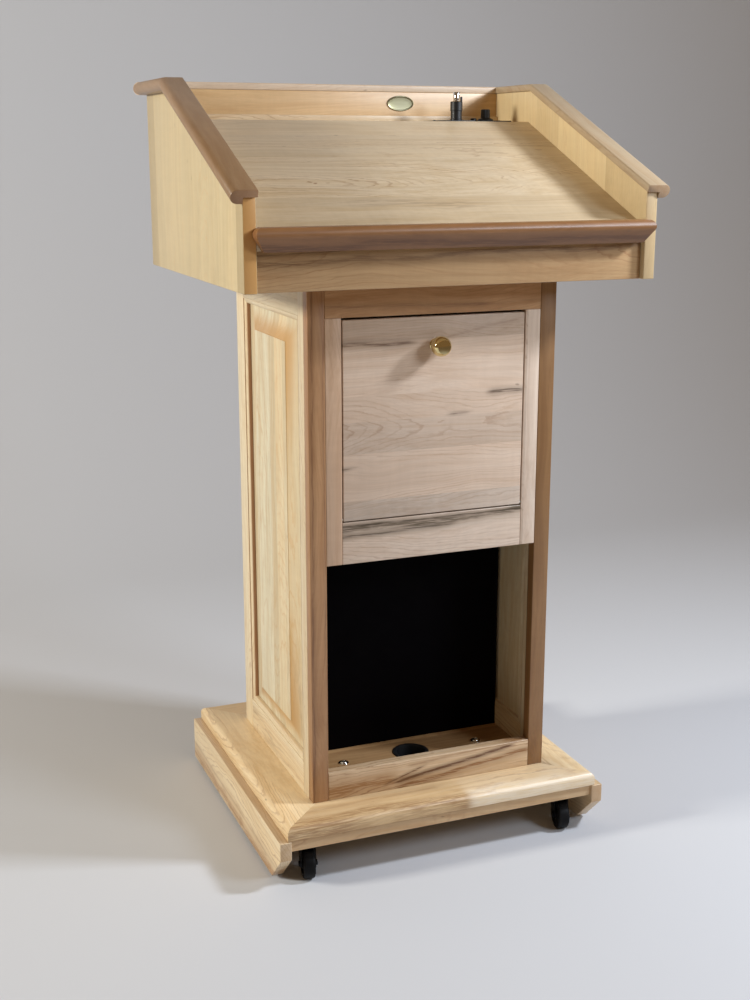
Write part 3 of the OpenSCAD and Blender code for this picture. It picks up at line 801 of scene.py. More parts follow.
def dress_node(node: str, material: bpy.types.Material) -> None:
    """Gives a CAD node that stays a better material.

    Args:
        node: the node's name.
        material: its new material.
    """
    piece = frame["nodes"][node]
    if not piece.material_slots:
        piece.data.materials.append(material)
    for holder in piece.material_slots:
        holder.material = material
    log.info("%s keeps its CAD shape", node)


def dress_board(node: str, look: MapleLook) -> None:
    """Gives a flat wooden CAD node that stays its figure, with the grain along X."""
    dress_node(node, maple("maple_" + node, look, X, Y, centre_of(node)))


def wooden(
    shell: Shell,
    name: str,
    look: MapleLook,
    grain: np.ndarray,
    width: np.ndarray,
    *nodes: str,
    body: str = "lectern",
    crease: float = 35.0,
) -> None:
    """Finishes a wooden piece.

    Args:
        shell: its surface.
        name: the piece's name.
        look: its figure.
        grain: unit vector along the grain.
        width: unit vector across the board's face.
        nodes: CAD nodes it stands for.
        body: the body it rides on.
        crease: angle past which smooth faces meet at a sharp edge.
    """
    middle = (shell.verts.min(0) + shell.verts.max(0)) / 2
    piece = shell.build(name, crease)
    settle(piece, maple("maple_" + name, look, grain, width, middle), body, "maple", *nodes)


def plain(shell: Shell, name: str, finish: Finish, slot: str, *nodes: str, body: str = "lectern") -> None:
    """Finishes a piece that isn't wood."""
    settle(shell.build(name, 35.0), speckled(finish), body, slot, *nodes)


# ---------------------------------------------------------------- desk


@dataclass
class Desk:
    """Cheeks, cap rail, reading surface, book stop and the boards round the shelf."""

    ease: float = 1.3 * MM
    cheek_front: float = 131 * MM
    cap_lead: float = 5 * MM
    cap_top: float = 11.5 * MM
    cap_lobe: float = 10.5 * MM
    cap_out: float = 18 * MM
    cap_inner: float = 2 * MM
    cap_ease: float = 3 * MM
    cap_half: float = 12 * MM
    small_ease: float = 1.2 * MM
    stop_nose: float = 22 * MM
    stop_foot: float = 9 * MM
    stop_radius: float = 10 * MM
    stop_ease: float = 0.8 * MM
    apron_step: float = 10 * MM

    def build(self) -> None:
        """Builds every piece of the desk."""
        lo, hi = box("left_cheek")
        bend = lo[1] + (hi[2] - lo[2] - self.cheek_front) / math.tan(SLOPE)
        self.cheeks(lo[1], bend, hi[1], hi[2])
        self.caps(lo[1], bend, hi[1], hi[2])
        self.reading()
        self.boards()
        self.book_stop()

    def cheeks(self, front: float, bend: float, rear: float, top: float) -> None:
        """Side cheeks, with their grain upright.

        Args:
            front: their front edge.
            bend: where the slope meets the flat.
            rear: their rear edge.
            top: height of the flat.
        """
        looks = {
            "left_cheek": MapleLook(
                2.31, 0.16, 0.1, 0.5, "ccba91", "baa274", "ce9856", 0.5, 0.9
            ),
            "right_cheek": MapleLook(
                5.77, 0.14, 0.05, 0.5, "dcc79c", "ceb282", band=0.45, edge=0.25
            ),
        }
        for node, look in looks.items():
            lo, hi = box(node)
            corner = (front, lo[2] + self.cheek_front)
            outline = [(front, lo[2]), (rear, lo[2]), (rear, top), (bend, top), corner]
            shell = run_along("x", outline, lo[0], hi[0], self.ease)
            wooden(shell, node + "_board", look, Z, Y, node)

    def cap_profile(self, cover: float) -> np.ndarray:
        """Cap section (out, up) from its inner edge: eased inside, fully round outside.

        Args:
            cover: width of the flat part that lies on the boards.

        Returns:
            (n, 2) points, anticlockwise.
        """
        small, lobe = self.small_ease, self.cap_lobe
        return np.vstack(
            [
                arc((small, small), small, 180, 270, 3),
                [[cover, 0], [cover, self.cap_top - 2 * lobe]],
                arc((cover + self.cap_out - lobe, self.cap_top - lobe), lobe, -90, 90, 16),
                arc((self.cap_ease, self.cap_top - self.cap_ease), self.cap_ease, 90, 180, 6),
            ]
        )

    def caps(self, front: float, bend: float, rear: float, top: float) -> None:
        """Cap rail: its section is carried up the slope, round the bend and across the back.

        A ring at a joint is the section slid along the run until it meets the mitre plane.

        Args:
            front: front edge of the cheeks.
            bend: where their slope meets the flat.
            rear: their rear edge.
            top: height of their flat.
        """
        lo, hi = box("right_cheek")
        inner_x = lo[0] - self.cap_inner
        profile = self.cap_profile(hi[0] - inner_x)
        out, up = profile.T
        middle = (profile.min(0) + profile.max(0)) / 2
        riser_y = box("riser_board")[0][1]
        mitre = (rear + self.cap_out - riser_y) / (hi[0] + self.cap_out - inner_x)
        along = np.array([math.cos(SLOPE), math.sin(SLOPE)])
        rise = np.array([-math.sin(SLOPE), math.cos(SLOPE)])
        nose = np.array([front, top - (bend - front) * math.tan(SLOPE)])
        rings = []
        for slide, shrink in ((0.0, 0.8 * MM), (0.3 * MM, 0.25 * MM), (0.9 * MM, 0.0)):
            near = profile + (middle - profile) * (shrink / self.cap_half)
            spot = nose + (slide - self.cap_lead) * along + near[:, 1:] * rise
            rings.append(np.column_stack([inner_x + near[:, 0], spot]))
        rings.append(np.column_stack([inner_x + out, bend - up * math.tan(SLOPE / 2), top + up]))
        rings.append(np.column_stack([inner_x + out, riser_y + out * mitre, top + up]))
        right = np.array(rings)
        looks = {
            "right_cap": MapleLook(3.3, 0.5, 0.2, 0.7, "cab89a", "b69b79"),
            "left_cap": MapleLook(8.1, 0.5, 0.25, 0.8, "aa8b68", "927150"),
        }
        for side, (node, look) in zip((1.0, -1.0), looks.items()):
            wooden(loft(right * np.array([side, 1.0, 1.0])), node + "_rail", look, UP_SLOPE, X, node)
        out, up = self.cap_profile(rear - riser_y).T
        reach = inner_x + out / mitre
        ends = [np.column_stack([side * reach, riser_y + out, top + up]) for side in (-1, 1)]
        # Painted highlight: the rear cap's near-white, cool pale and tan paint the highlight along its top.
        look = MapleLook(6.4, 0.5, 0.2, 0.7, "e2d0b8", "d0b698")
        wooden(loft(ends), "rear_cap_rail", look, X, Y, "rear_cap")

    def reading(self) -> None:
        """Sloping reading surface of four glued boards."""
        lo, hi = box("reading_surface")
        drop = (hi[2] - lo[2]) - (hi[1] - lo[1]) * math.tan(SLOPE)
        outline = [(lo[1], lo[2]), (hi[1], hi[2] - drop), (hi[1], hi[2]), (lo[1], lo[2] + drop)]
        look = MapleLook(
            *(4.2, 9.0, 0.16, 2.2, "dcc8a8", "c8ae86", "a07c58"),
            calm=-0.085,
            fray=2.2,
            seams=(-0.085, 0.062, 0.15),
            tones=(1.04, 0.97, 1.02, 0.97),
            streaks=(Streak(-112, 0.05, 0.12, 0.24, 3, 0.25, "967048"),),
        )
        shell = run_along("x", outline, lo[0], hi[0], 0.5 * MM)
        wooden(shell, "reading_board", look, X, UP_SLOPE, "reading_surface")

    def boards(self) -> None:
        """Apron, shelf and the boards behind it."""
        lo, hi = box("apron")
        low = box("reading_surface")[0][2] + self.apron_step * math.tan(SLOPE)
        outline = [(lo[1], lo[2]), (hi[1], lo[2]), (hi[1], hi[2]), (lo[1], low)]
        streaks = (
            Streak(11, 0.018, width=8, strength=0.62, tint="5c3c24"),
            Streak(26, 0.03, width=2.2, strength=0.5, tint="483020"),
            Streak(-18, -0.015, width=4, strength=0.22, tint="825c3a"),
        )
        look = MapleLook(9.9, 0.5, 0.4, 1.3, "caa87c", "b28a5f", streaks=streaks)
        wooden(run_along("x", outline, lo[0], hi[0], self.ease), "apron_board", look, X, Z, "apron")
        flat = {
            "shelf_trim": (MapleLook(1.2, 0.5, 0.1), Z),
            "riser_board": (MapleLook(7.7, 0.5, 0.1, 0.7, "d3b284", "c39c6b"), Z),
            "desk_back": (MapleLook(3.9, 0.12, 0.3), Z),
            "desk_bottom": (MapleLook(5.1, 0.1, 0.3), Y),
        }
        for node, (look, width) in flat.items():
            wooden(block(*box(node), 0.8 * MM), node + "_piece", look, X, width, node)
        dress_board("equipment_shelf", MapleLook(2.8, 0.5, 0.15))

    def stop_profile(self, height: float) -> np.ndarray:
        """Book stop's section (forward, up): sloping underside, round nose, flat back.

        The underside runs from the foot to where a line through it touches the nose's circle.

        Args:
            height: of the moulding.

        Returns:
            (n, 2) points, anticlockwise.
        """
        centre = np.array([self.stop_nose - self.stop_radius, height - self.stop_radius])
        gap = np.array([self.stop_foot, 0.0]) - centre
        turn = math.degrees(math.atan2(gap[1], gap[0]) + math.acos(self.stop_radius / np.hypot(*gap)))
        ease = self.stop_ease
        foot = [[0, 0], [self.stop_foot - ease, 0], [self.stop_foot, ease]]
        nose = arc(centre, self.stop_radius, turn, 90, 20)
        return np.vstack([foot, nose, [[ease, height], [0, height - ease]]])

    def book_stop(self) -> None:
        """Moulding under the papers, with its section returned round both ends.

        The ring at each end is the section seen from the front, so that a point that stands
        forward by p also stands outwards by p, and the closing ring lies on the back plane.
        """
        lo, hi = box("book_stop")
        forward, up = self.stop_profile(hi[2] - lo[2]).T
        reach = hi[0] - self.stop_nose + forward
        ends = ((-1, 0), (-1, 1), (1, 1), (1, 0))
        rings = [np.column_stack([side * reach, hi[1] - forward * out, lo[2] + up]) for side, out in ends]
        # Painted shade: the dark streak along the moulding's lower face paints the shade under its nose, and
        # its dark pale and tan carry part of that shade.
        streaks = (Streak(-10, 0.0, width=9, strength=1.1, tint="684428"),)
        look = MapleLook(11.3, 0.5, 0.2, 1.0, "9d7148", "815732", streaks=streaks)
        wooden(loft(rings), "book_stop_moulding", look, X, Z, "book_stop", crease=24)


# ---------------------------------------------------------------- pedestal


@dataclass
class PanelledFrame:
    """A frame of stiles and rails with a moulded inner edge round a raised panel."""

    name: str
    origin: np.ndarray
    across: np.ndarray
    inward: np.ndarray
    width: float
    height: float
    first: float
    last: float
    bottom: float = 62 * MM
    top: float = 56 * MM
    stock: float = 19 * MM
    sticking: float = 9 * MM
    sticking_depth: float = 5.4 * MM
    sticking_step: float = 1.2 * MM
    panel_depth: float = 9.6 * MM
    panel_back: float = 14 * MM
    panel_gap: float = 1.0 * MM
    field_step: float = 0.9 * MM
    bevel: float = 36 * MM
    side_bevel: float = 52 * MM
    ease: float = 1.0 * MM

    def place(self, shell: Shell) -> Shell:
        """Carries (across, up, inward) to the row frame."""
        return shell.moved(np.array([self.across, Z, self.inward]), self.origin)

    def moulding(self, run: str, at: float, outwards: int, lo: float, hi: float) -> Shell:
        """One mitred side of the moulded edge: a quarter round under a small step.

        A ring at each end is the section, drawn out to the mitre: a point that lies a
        outside the opening also lies a beyond the opening's corner.

        Args:
            run: "u" or "v", the direction of the run.
            at: place of the opening's edge across the run.
            outwards: -1 or 1, the side of the frame's member.
            lo: start of the opening along the run.
            hi: end of the opening along the run.

        Returns:
            The shell in (across, up, inward).
        """
        step, wide = self.sticking_step, self.sticking
        turn = np.radians(np.linspace(0, 90, 9))
        deep = self.sticking_depth - step
        curve = [(wide - step) * (1 - np.sin(turn)), step + deep * (1 - np.cos(turn))]
        start = [[wide, 0.0], [wide - step, 0.0]]
        out, depth = np.vstack([start, np.column_stack(curve), [[0.0, self.stock], [wide, self.stock]]]).T
        offset = at + outwards * out
        rings = []
        for along in (lo - out, hi + out):
            rings.append(np.column_stack([*((offset, along) if run == "v" else (along, offset)), depth]))
        return loft(rings)

    def member(self, u0: float, u1: float, v0: float, v1: float) -> Shell:
        """Flat part of a stile or rail."""
        return run_along("z", rectangle(u0, u1, v0, v1), 0.0, self.stock, self.ease)

    def raised_panel(self, u0: float, u1: float, v0: float, v1: float) -> Shell:
        """Panel in an opening: nested rectangles whose depth follows a cove.

        At a share t of the bevel's width the depth is step + (panel_depth - step) * (1 - t ** 2),
        and the field stands up from there by step.

        Args:
            u0: first side of the opening.
            u1: last side of the opening.
            v0: bottom of the opening.
            v1: top of the opening.

        Returns:
            The shell in (across, up, inward).
        """
        step = self.field_step
        share = np.linspace(0, 1, 14)
        cove = step + (self.panel_depth - step) * (1 - share**2)
        beside, above = (
            self.panel_gap + np.array([0.0, *(wide * share), wide + step / 2])
            for wide in (self.side_bevel, self.bevel)
        )
        rings = []
        for du, dv, depth in zip(beside, above, [self.panel_back, *cove, 0.0]):
            corners = rectangle(u0 + du, u1 - du, v0 + dv, v1 - dv)
            rings.append(np.column_stack([corners, np.full(4, depth)]))
        return loft(rings, False)

    def build(self, frame_node: str, panel_node: str, looks: Sequence[MapleLook]) -> None:
        """Builds the four members and the panel.

        Args:
            frame_node: CAD node of the frame.
            panel_node: CAD node of the panel.
            looks: figures of the first, last, bottom and top member and of the panel.
        """
        s, w, h = self.sticking, self.width, self.height
        u0, u1 = self.first, w - self.last
        v0, v1 = self.bottom, h - self.top
        parts = {
            "first": (self.member(0, u0 - s, 0, h), self.moulding("v", u0, -1, v0, v1)),
            "last": (self.member(u1 + s, w, 0, h), self.moulding("v", u1, 1, v0, v1)),
            "bottom": (self.member(u0 - s, u1 + s, 0, v0 - s), self.moulding("u", v0, -1, u0, u1)),
            "top": (self.member(u0 - s, u1 + s, v1 + s, h), self.moulding("u", v1, 1, u0, u1)),
        }
        for look, (part, (flat, edge)) in zip(looks, parts.items()):
            run = (Z, self.across) if part in ("first", "last") else (self.across, Z)
            nodes = (frame_node,) if part == "first" else ()
            wooden(self.place(flat.merge(edge)), f"{self.name}_{part}", look, *run, *nodes)
        shell = self.place(self.raised_panel(u0, u1, v0, v1))
        wooden(shell, f"{self.name}_field", looks[-1], Z, self.across, panel_node)


@dataclass
class Pedestal:
    """Corner posts, face frame, compartment boards and the three panelled frames."""

    ease: float = 1.2 * MM
    stile: float = 50 * MM
    front_stile: float = 34 * MM
    sleeve: float = 26.9 * MM
    bore: float = 24.5 * MM

    def build(self) -> None:
        """Builds every fixed piece of the pedestal."""
        self.face()
        self.compartment()
        self.grommet()
        self.side_frames()
        self.rear_frame()

    def face(self) -> None:
        """Posts, rails and stiles round the flap, and the toe board."""
        pink, rose = "e0ccb8", "ccb29a"
        post = (
            Streak(-9, 0.004, width=3.5, strength=0.7, tint="704a2e"),
            Streak(11, -0.003, width=2.5, strength=0.6, tint="704a2e"),
        )
        rail = (
            Streak(-11, -0.02, -0.3, 0.1, 4, 0.5, "68462e"),
            Streak(-16, 0.04, 0.0, 0.3, 3, 0.3, "785438"),
        )
        spalt = (
            Streak(23, 0.01, -0.3, 0.3, 9, 0.9, "544836"),
            Streak(14, 0.02, -0.18, 0.05, 4, 0.85, "4e4232"),
            Streak(27, 0.0, -0.3, 0.3, 2.5, 0.9, "423628"),
        )
        burl = (
            Streak(-4, 0.0, -0.2, -0.05, 15, 1.3, "a47a50"),
            Streak(-2, 0.14, -0.07, 0.16, 3.5, 1.8, "68462c"),
            Streak(-14, 0.11, -0.07, 0.2, 6, 1.2, "90663e"),
            Streak(12, 0.3, -0.09, 0.0, 2.5, 1.2, "785638"),
            Streak(4, -0.4, -0.11, -0.045, 3, 1.2, "785638"),
            Streak(16, 0.05, -0.05, 0.2, 3, 0.7, "966e46"),
        )
        upright, level = (Z, X), (X, Z)
        boards = {
            "left_post": (upright, 1.9, 0.3, 1.0, "be946a", "a0734b", post),
            "right_post": (upright, 6.1, 0.4, 1.0, "9a744b", "805a36", ()),
            "face_top_rail": (level, 12.4, 0.35, 1.2, "c1966a", "a5764a", rail),
            "flap_rail": (level, 15.1, 0.3, 0.9, pink, rose, spalt),
            "toe_board": (level, 4.9, 0.3, 2.4, "ead4b4", "d0ae84", burl),
        }
        for node, (run, seed, streak, contrast, pale, tan, streaks) in boards.items():
            look = MapleLook(seed, 0.5, streak, contrast, pale, tan, streaks=streaks)
            wooden(block(*box(node), self.ease), node + "_board", look, *run, node)
        lo, hi = box("flap_stiles")
        inner = box("flap_rail")[1][0] + 0.1 * MM
        stiles = {
            # Painted shade: the left stile's darker pale and tan paint the light falling off towards the
            # left of the face.
            "left": (lo[0], -inner, 2.2, "d0b194", "ba9676", "flap_stiles"),
            "right": (inner, hi[0], 7.3, pink, rose),
        }
        for name, (x0, x1, seed, pale, tan, *nodes) in stiles.items():
            shell = block((x0, *lo[1:]), (x1, *hi[1:]), self.ease)
            wooden(shell, f"flap_{name}_stile", MapleLook(seed, 0.5, 0.12, 0.7, pale, tan), Z, X, *nodes)

    def compartment(self) -> None:
        """Boards inside the pedestal, the black divider and the flap's catch."""
        # Painted shade: the floors' brown pale and tan are darkened to paint the shade inside the pedestal.
        for node, seed in (("compartment_floor", 3.1), ("storage_floor", 8.8)):
            dress_board(node, MapleLook(seed, 0.11, 0.3, 1.0, "bc966a", "9e764c"))
        shell = block(*box("divider_panel"), self.ease)
        plain(shell, "divider_sheet", Finish.BLACK_PANEL, "black_panel", "divider_panel")
        lo, hi = box("flap_catch")
        tip = box("face_top_rail")[0][2] + 2 * MM
        shell = block((lo[0], lo[1], tip), hi, 1.0 * MM)
        shell.merge(block((-12 * MM, lo[1] + 2 * MM, lo[2]), (12 * MM, hi[1] - 2 * MM, tip), 0.8 * MM))
        plain(shell, "magnetic_catch", Finish.BLACK_PLASTIC, "black_plastic", "flap_catch")

    def grommet(self) -> None:
        """Black sleeve with a rounded flange that lines the cable hole."""
        lo, hi = box("cable_grommet")
        x, y, _ = centre_of("cable_grommet")
        flange, tall = (hi[0] - lo[0]) / 2, hi[2] - lo[2]
        bore, sleeve = self.bore, self.sleeve
        below = [(bore, 0), (sleeve, 0), (sleeve, tall - 2 * MM), (flange, tall - 2 * MM)]
        rim = [(flange, tall - 1.2 * MM), (flange - 0.6 * MM, tall - 0.3 * MM), (flange - 2 * MM, tall)]
        mouth = [(bore + 1.2 * MM, tall), (bore + 0.3 * MM, tall - 0.4 * MM), (bore, tall - 1.4 * MM)]
        shell = lathe(below + rim + mouth, (x, y, lo[2]), Z, 64, closed=True)
        plain(shell, "hole_sleeve", Finish.BLACK_PLASTIC, "black_plastic", "cable_grommet")

    def side_frames(self) -> None:
        """Left and right frames with their raised panels."""
        cream, butter, stile_ring_and_shade = "e8dcbe", "d4ba92", "9e643a"
        for side, seed in (("left", 21.0), ("right", 33.0)):
            lo, hi = box(f"{side}_side_frame")
            size = hi - lo
            outer, inward = (lo[0], X) if side == "left" else (hi[0], -X)
            stile, rail = (0.5, 0.2, 0.8, cream, butter, stile_ring_and_shade), (0.5, 0.3, 1.0, cream, butter)
            looks = [
                # Painted shade: the stiles' edge tint in this brown darkens the faces that look forward and
                # back, chiefly the moulded edge beside the panel, and is heaviest on the rear stile.
                MapleLook(seed, *stile, edge=0.3, edge_range=(0.5, 0.98)),
                MapleLook(seed + 1.3, *stile, edge=0.8, edge_range=(0.5, 0.98)),
                MapleLook(seed + 2.1, *rail),
                MapleLook(seed + 3.7, *rail),
                # Partly painted shade: the panel's strong end and edge tints darken its bevels, most where
                # they are steep; this is partly end grain and partly painted shade on the bevels.
                MapleLook(
                    *(seed + 4.9, 0.05, 0.3, 1.0, "e6dec2", "ceb486", "c4924e"),
                    edge=0.4,
                    edge_range=(0.03, 0.3),
                    end_range=(0.02, 0.2),
                    end_weight=1.8,
                ),
            ]
            origin = np.array([outer, lo[1], lo[2]])
            panelled = PanelledFrame(
                f"{side}_side", origin, Y, inward, size[1], size[2], self.front_stile, self.stile
            )
            panelled.build(f"{side}_side_frame", f"{side}_side_panel", looks)

    def rear_frame(self) -> None:
        """Frame and raised panel on the audience's side."""
        lo, hi = box("back_frame")
        size = hi - lo
        looks = [MapleLook(45.0 + number * 1.7, 0.5, 0.3, 0.9) for number in range(4)]
        looks.append(MapleLook(45.0 + 4 * 1.7, 0.085, 0.3, 0.9, end_range=(0.02, 0.2)))
        origin = np.array([hi[0], hi[1], lo[2]])
        panelled = PanelledFrame("audience_side", origin, -X, -Y, size[0], size[2], self.stile, self.stile)
        panelled.build("back_frame", "back_panel", looks)


@dataclass
class Flap:
    """Drop-down door with its ball knob and strike."""

    ease: float = 1.4 * MM
    rose: float = 10 * MM
    neck: float = 5.2 * MM

    def build(self) -> None:
        """Builds the door, the knob and the small hardware that moves with them."""
        look = MapleLook(
            *(17.6, 9.0, 0.2, 0.8, "decab6", "caae94"),
            seams=(-0.123, -0.05, -0.001, 0.038, 0.119),
            tones=(0.9, 1.08, 0.93, 1.0, 1.05, 0.94),
            streaks=(
                Streak(117, 0.02, -0.2, -0.02, 5, 0.85, "644834"),
                Streak(116, 0.2, -0.01, 0.16, 3.5, 0.4, "8c6a50"),
                Streak(34, 0.0, 0.08, 0.17, 5, 0.9, "544232"),
                Streak(2, 0.03, 0.015, 0.07, 2.4, 0.8, "4c382a"),
                Streak(-57, 0.1, -0.17, -0.12, 2.4, 0.9, "4c382a"),
            ),
        )
        wooden(block(*box("flap_door"), self.ease), "flap_board", look, X, Z, "flap_door", body="flap")
        shell = block(*box("catch_plate"), 0.5 * MM)
        plain(shell, "catch_strike", Finish.STEEL, "steel", "catch_plate", body="flap")
        self.knob()
        dress_node("pivot_pins", speckled(Finish.STEEL))
        dress_node("pivot_bushes", speckled(Finish.BRASS))

    def knob(self) -> None:
        """Ball knob on a waisted neck, turned about its own axis, with its screw head inside.

        The ball's front is slightly flattened: from 50 degrees on, its height rises to the
        full reach as sin t does from 0 to 1.
        """
        lo, hi = box("flap_knob")
        face = box("flap_door")[0][1]
        x, _, z = centre_of("flap_knob")
        radius, reach = (hi[0] - lo[0]) / 2, face - lo[1]
        ball = reach - radius * 0.8
        start = ball + radius * math.sin(math.radians(50))
        crown = start + (reach - start) * np.sin(np.linspace(0, 1, 9) * np.pi / 2)
        rose, neck = self.rose, self.neck
        profile = np.vstack(
            [
                [[0, 0], [rose, 0], [rose, 0.8 * MM], [rose - 0.6 * MM, 1.5 * MM]],
                [[neck + 2.2 * MM, 2.6 * MM], [neck + 0.5 * MM, 4.4 * MM], [neck, 6.5 * MM]],
                [[neck + 0.4 * MM, 8.5 * MM]],
                arc((0, ball), radius, -62, 50, 20),
                np.column_stack([arc((0, 0), radius + 3.2 * MM, 56, 90, 8)[:, 0], crown]),
            ]
        )
        head = mm((0, 0), (4.2, 0), (5, 0.6), (5, 2.5), (0, 2.5))
        shell = lathe(profile, (x, face, z), -Y, 64).merge(lathe(head, (x, hi[1], z), -Y, 32))
        plain(shell, "ball_knob", Finish.BRASS, "brass", "flap_knob", body="flap")


# ---------------------------------------------------------------- base


@dataclass
class Base:
    """Platform boards, deck, runners, bolts and casters."""

    board: float = 90 * MM
    ease: float = 1.3 * MM
    low_ease: float = 1.5 * MM
    chamfer: float = 46 * MM
    nose: float = 9.9 * MM
    hair: float = 0.1 * MM
    washer: float = 8.5 * MM
    half_wheel: float = 9.5 * MM
    tread: float = 3.5 * MM

    def build(self) -> None:
        """Builds every piece of the base."""
        self.platform()
        self.runners()
        dress_board("base_deck", MapleLook(13.2, 0.5, 0.35, 1.0, "d8ba90", "be9668"))
        self.bolts()
        for corner in ("front_left", "front_right", "rear_left", "rear_right"):
            self.caster(corner)
        dress_node("caster_plates", speckled(Finish.CASTER_PAINT))

    def platform(self) -> None:
        """Four mitred boards: a bullnosed section whose ends follow the mitres."""
        lo, hi = box("platform_front")
        thick = hi[2] - lo[2]
        section = np.vstack(
            [
                [[self.board, 0], [self.board, thick]],
                arc((self.nose, thick - self.nose), self.nose, 90, 180, 12),
                arc((self.low_ease, self.low_ease), self.low_ease, 180, 270, 3),
            ]
        )
        inward, up = section.T
        half_w, y0, y1 = box("platform_right")[1][0], lo[1], box("platform_rear")[1][1]
        middle = np.array([0.0, (y0 + y1) / 2, lo[2]])
        half_d = (y1 - y0) / 2
        front = (
            Streak(-30, 0.0, -0.5, 0.06, 26, 0.9, "9e7850"),
            Streak(6, 0.02, -0.5, 0.02, 8, 0.6, "a07a52"),
            # Painted highlight: this near-white band on the right part of the nose is paler wood with a
            # painted highlight on it.
            Streak(-38, 0.0, 0.03, 0.5, 32, 0.6, "f4e9d6"),
        )
        right = (Streak(12, 0.0, -0.5, -0.08, 14, 0.6, "704e32"),)
        sides = {
            "platform_front": (X, Y, half_w, half_d, 6.6, front),
            "platform_rear": (-X, -Y, half_w, half_d, 9.4, ()),
            "platform_left": (-Y, X, half_d, half_w, 14.5, ()),
            "platform_right": (Y, -X, half_d, half_w, 18.2, right),
        }
        for node, (run, inside, half, reach, seed, streaks) in sides.items():
            rings = []
            for sign in (-1, 1):
                along = sign * (half - self.hair - inward)
                points = along[:, None] * run + (inward - reach)[:, None] * inside + up[:, None] * Z
                rings.append(points + middle)
            look = MapleLook(seed, 0.5, 0.2, 1.3, "f2dab0", "dcba86", streaks=streaks)
            wooden(loft(rings), node + "_board", look, run, inside, node, crease=28)

    def runners(self) -> None:
        """Side runners with a sloping front corner."""
        streaks = (
            Streak(-29, 0.0, width=15, strength=0.95, tint="aa7e52"),
            Streak(-10, 0.012, width=2, strength=0.4, tint="825c3a"),
        )
        left = (24.4, 0.5, 0.3, 1.3, "ecdcbc", "d6ba8e")
        looks = {
            "left_runner": MapleLook(*left, edge=0.4, streaks=streaks),
            "right_runner": MapleLook(28.9, 0.5, 0.2, 1.0),
        }
        for node, look in looks.items():
            (x0, y0, z0), (x1, y1, z1) = box(node)
            outline = [(y0 + self.chamfer, z0), (y1, z0), (y1, z1), (y0, z1), (y0, z0 + self.chamfer)]
            wooden(run_along("x", outline, x0, x1, self.ease), node + "_board", look, Y, Z, node)

    def bolts(self) -> None:
        """Button-head bolts on washers, with their shanks and nuts."""
        lo, hi = box("floor_bolts")
        floor = box("compartment_floor")[1][2]
        drop = floor - lo[2]
        rim = self.washer
        washer = [(0, 0), (rim, 0), (rim, 1.2 * MM), (rim - 0.3 * MM, 1.5 * MM), (0, 1.5 * MM)]
        head = mm((0, 0), (6, 0), (5.8, 0.8), (5.1, 1.8), (3.9, 2.6), (2.3, 3), (2, 2.2), (0, 2.2))
        shank = [(0, 0), (3.9 * MM, 0), (3.9 * MM, drop), (0, drop)]
        nut = mm((0, 0), (6.5, 0), (6.5, 6), (0, 6))
        shells = []
        for x in (lo[0] + rim, hi[0] - rim):
            for y in (lo[1] + rim, hi[1] - rim):
                shells.append(lathe(washer, (x, y, floor), Z, 40))
                shells.append(lathe(head, (x, y, floor + 1.5 * MM), Z, 40))
                shells.append(lathe(shank, (x, y, lo[2]), Z, 24))
                shells.append(lathe(nut, (x, y, lo[2]), Z, 6, False))
        plain(joined(shells), "floor_bolt_set", Finish.CHROME, "chrome", "floor_bolts")

    def caster(self, corner: str) -> None:
        """One caster's wheel, turned about its axle, and its fork's finish.

        Args:
            corner: the caster's place, such as front_left.
        """
        wheel = corner + "_wheel"
        roll = next(joint for joint in frame["joints"] if joint["name"] == corner + "_roll")
        radius = box(wheel)[1][2] / 2
        half, tread = self.half_wheel, self.tread
        hub = [[3.1, 0], [7.4, 0], [8.2, -0.6], [8.6, -2.2]]
        web = [[-8.4, -2.2], [-7.6, -1.2], [-7.0, -0.1]]
        side = np.vstack(
            [
                np.array(hub) * MM + (0, half),
                np.array(web) * MM + (radius, half),
                arc((radius - tread, half - tread), tread, 90, 0, 6),
            ]
        )
        profile = np.vstack([side, side[::-1] * (1, -1)])
        shell = lathe(profile, roll["pos_m"], np.array(roll["axis"], dtype=float), 64, closed=True)
        plain(shell, corner + "_tyre", Finish.RUBBER, "wheel_rubber", wheel, body=corner + "_roller")
        dress_node(corner + "_fork", speckled(Finish.CASTER_PAINT))


# ---------------------------------------------------------------- electronics


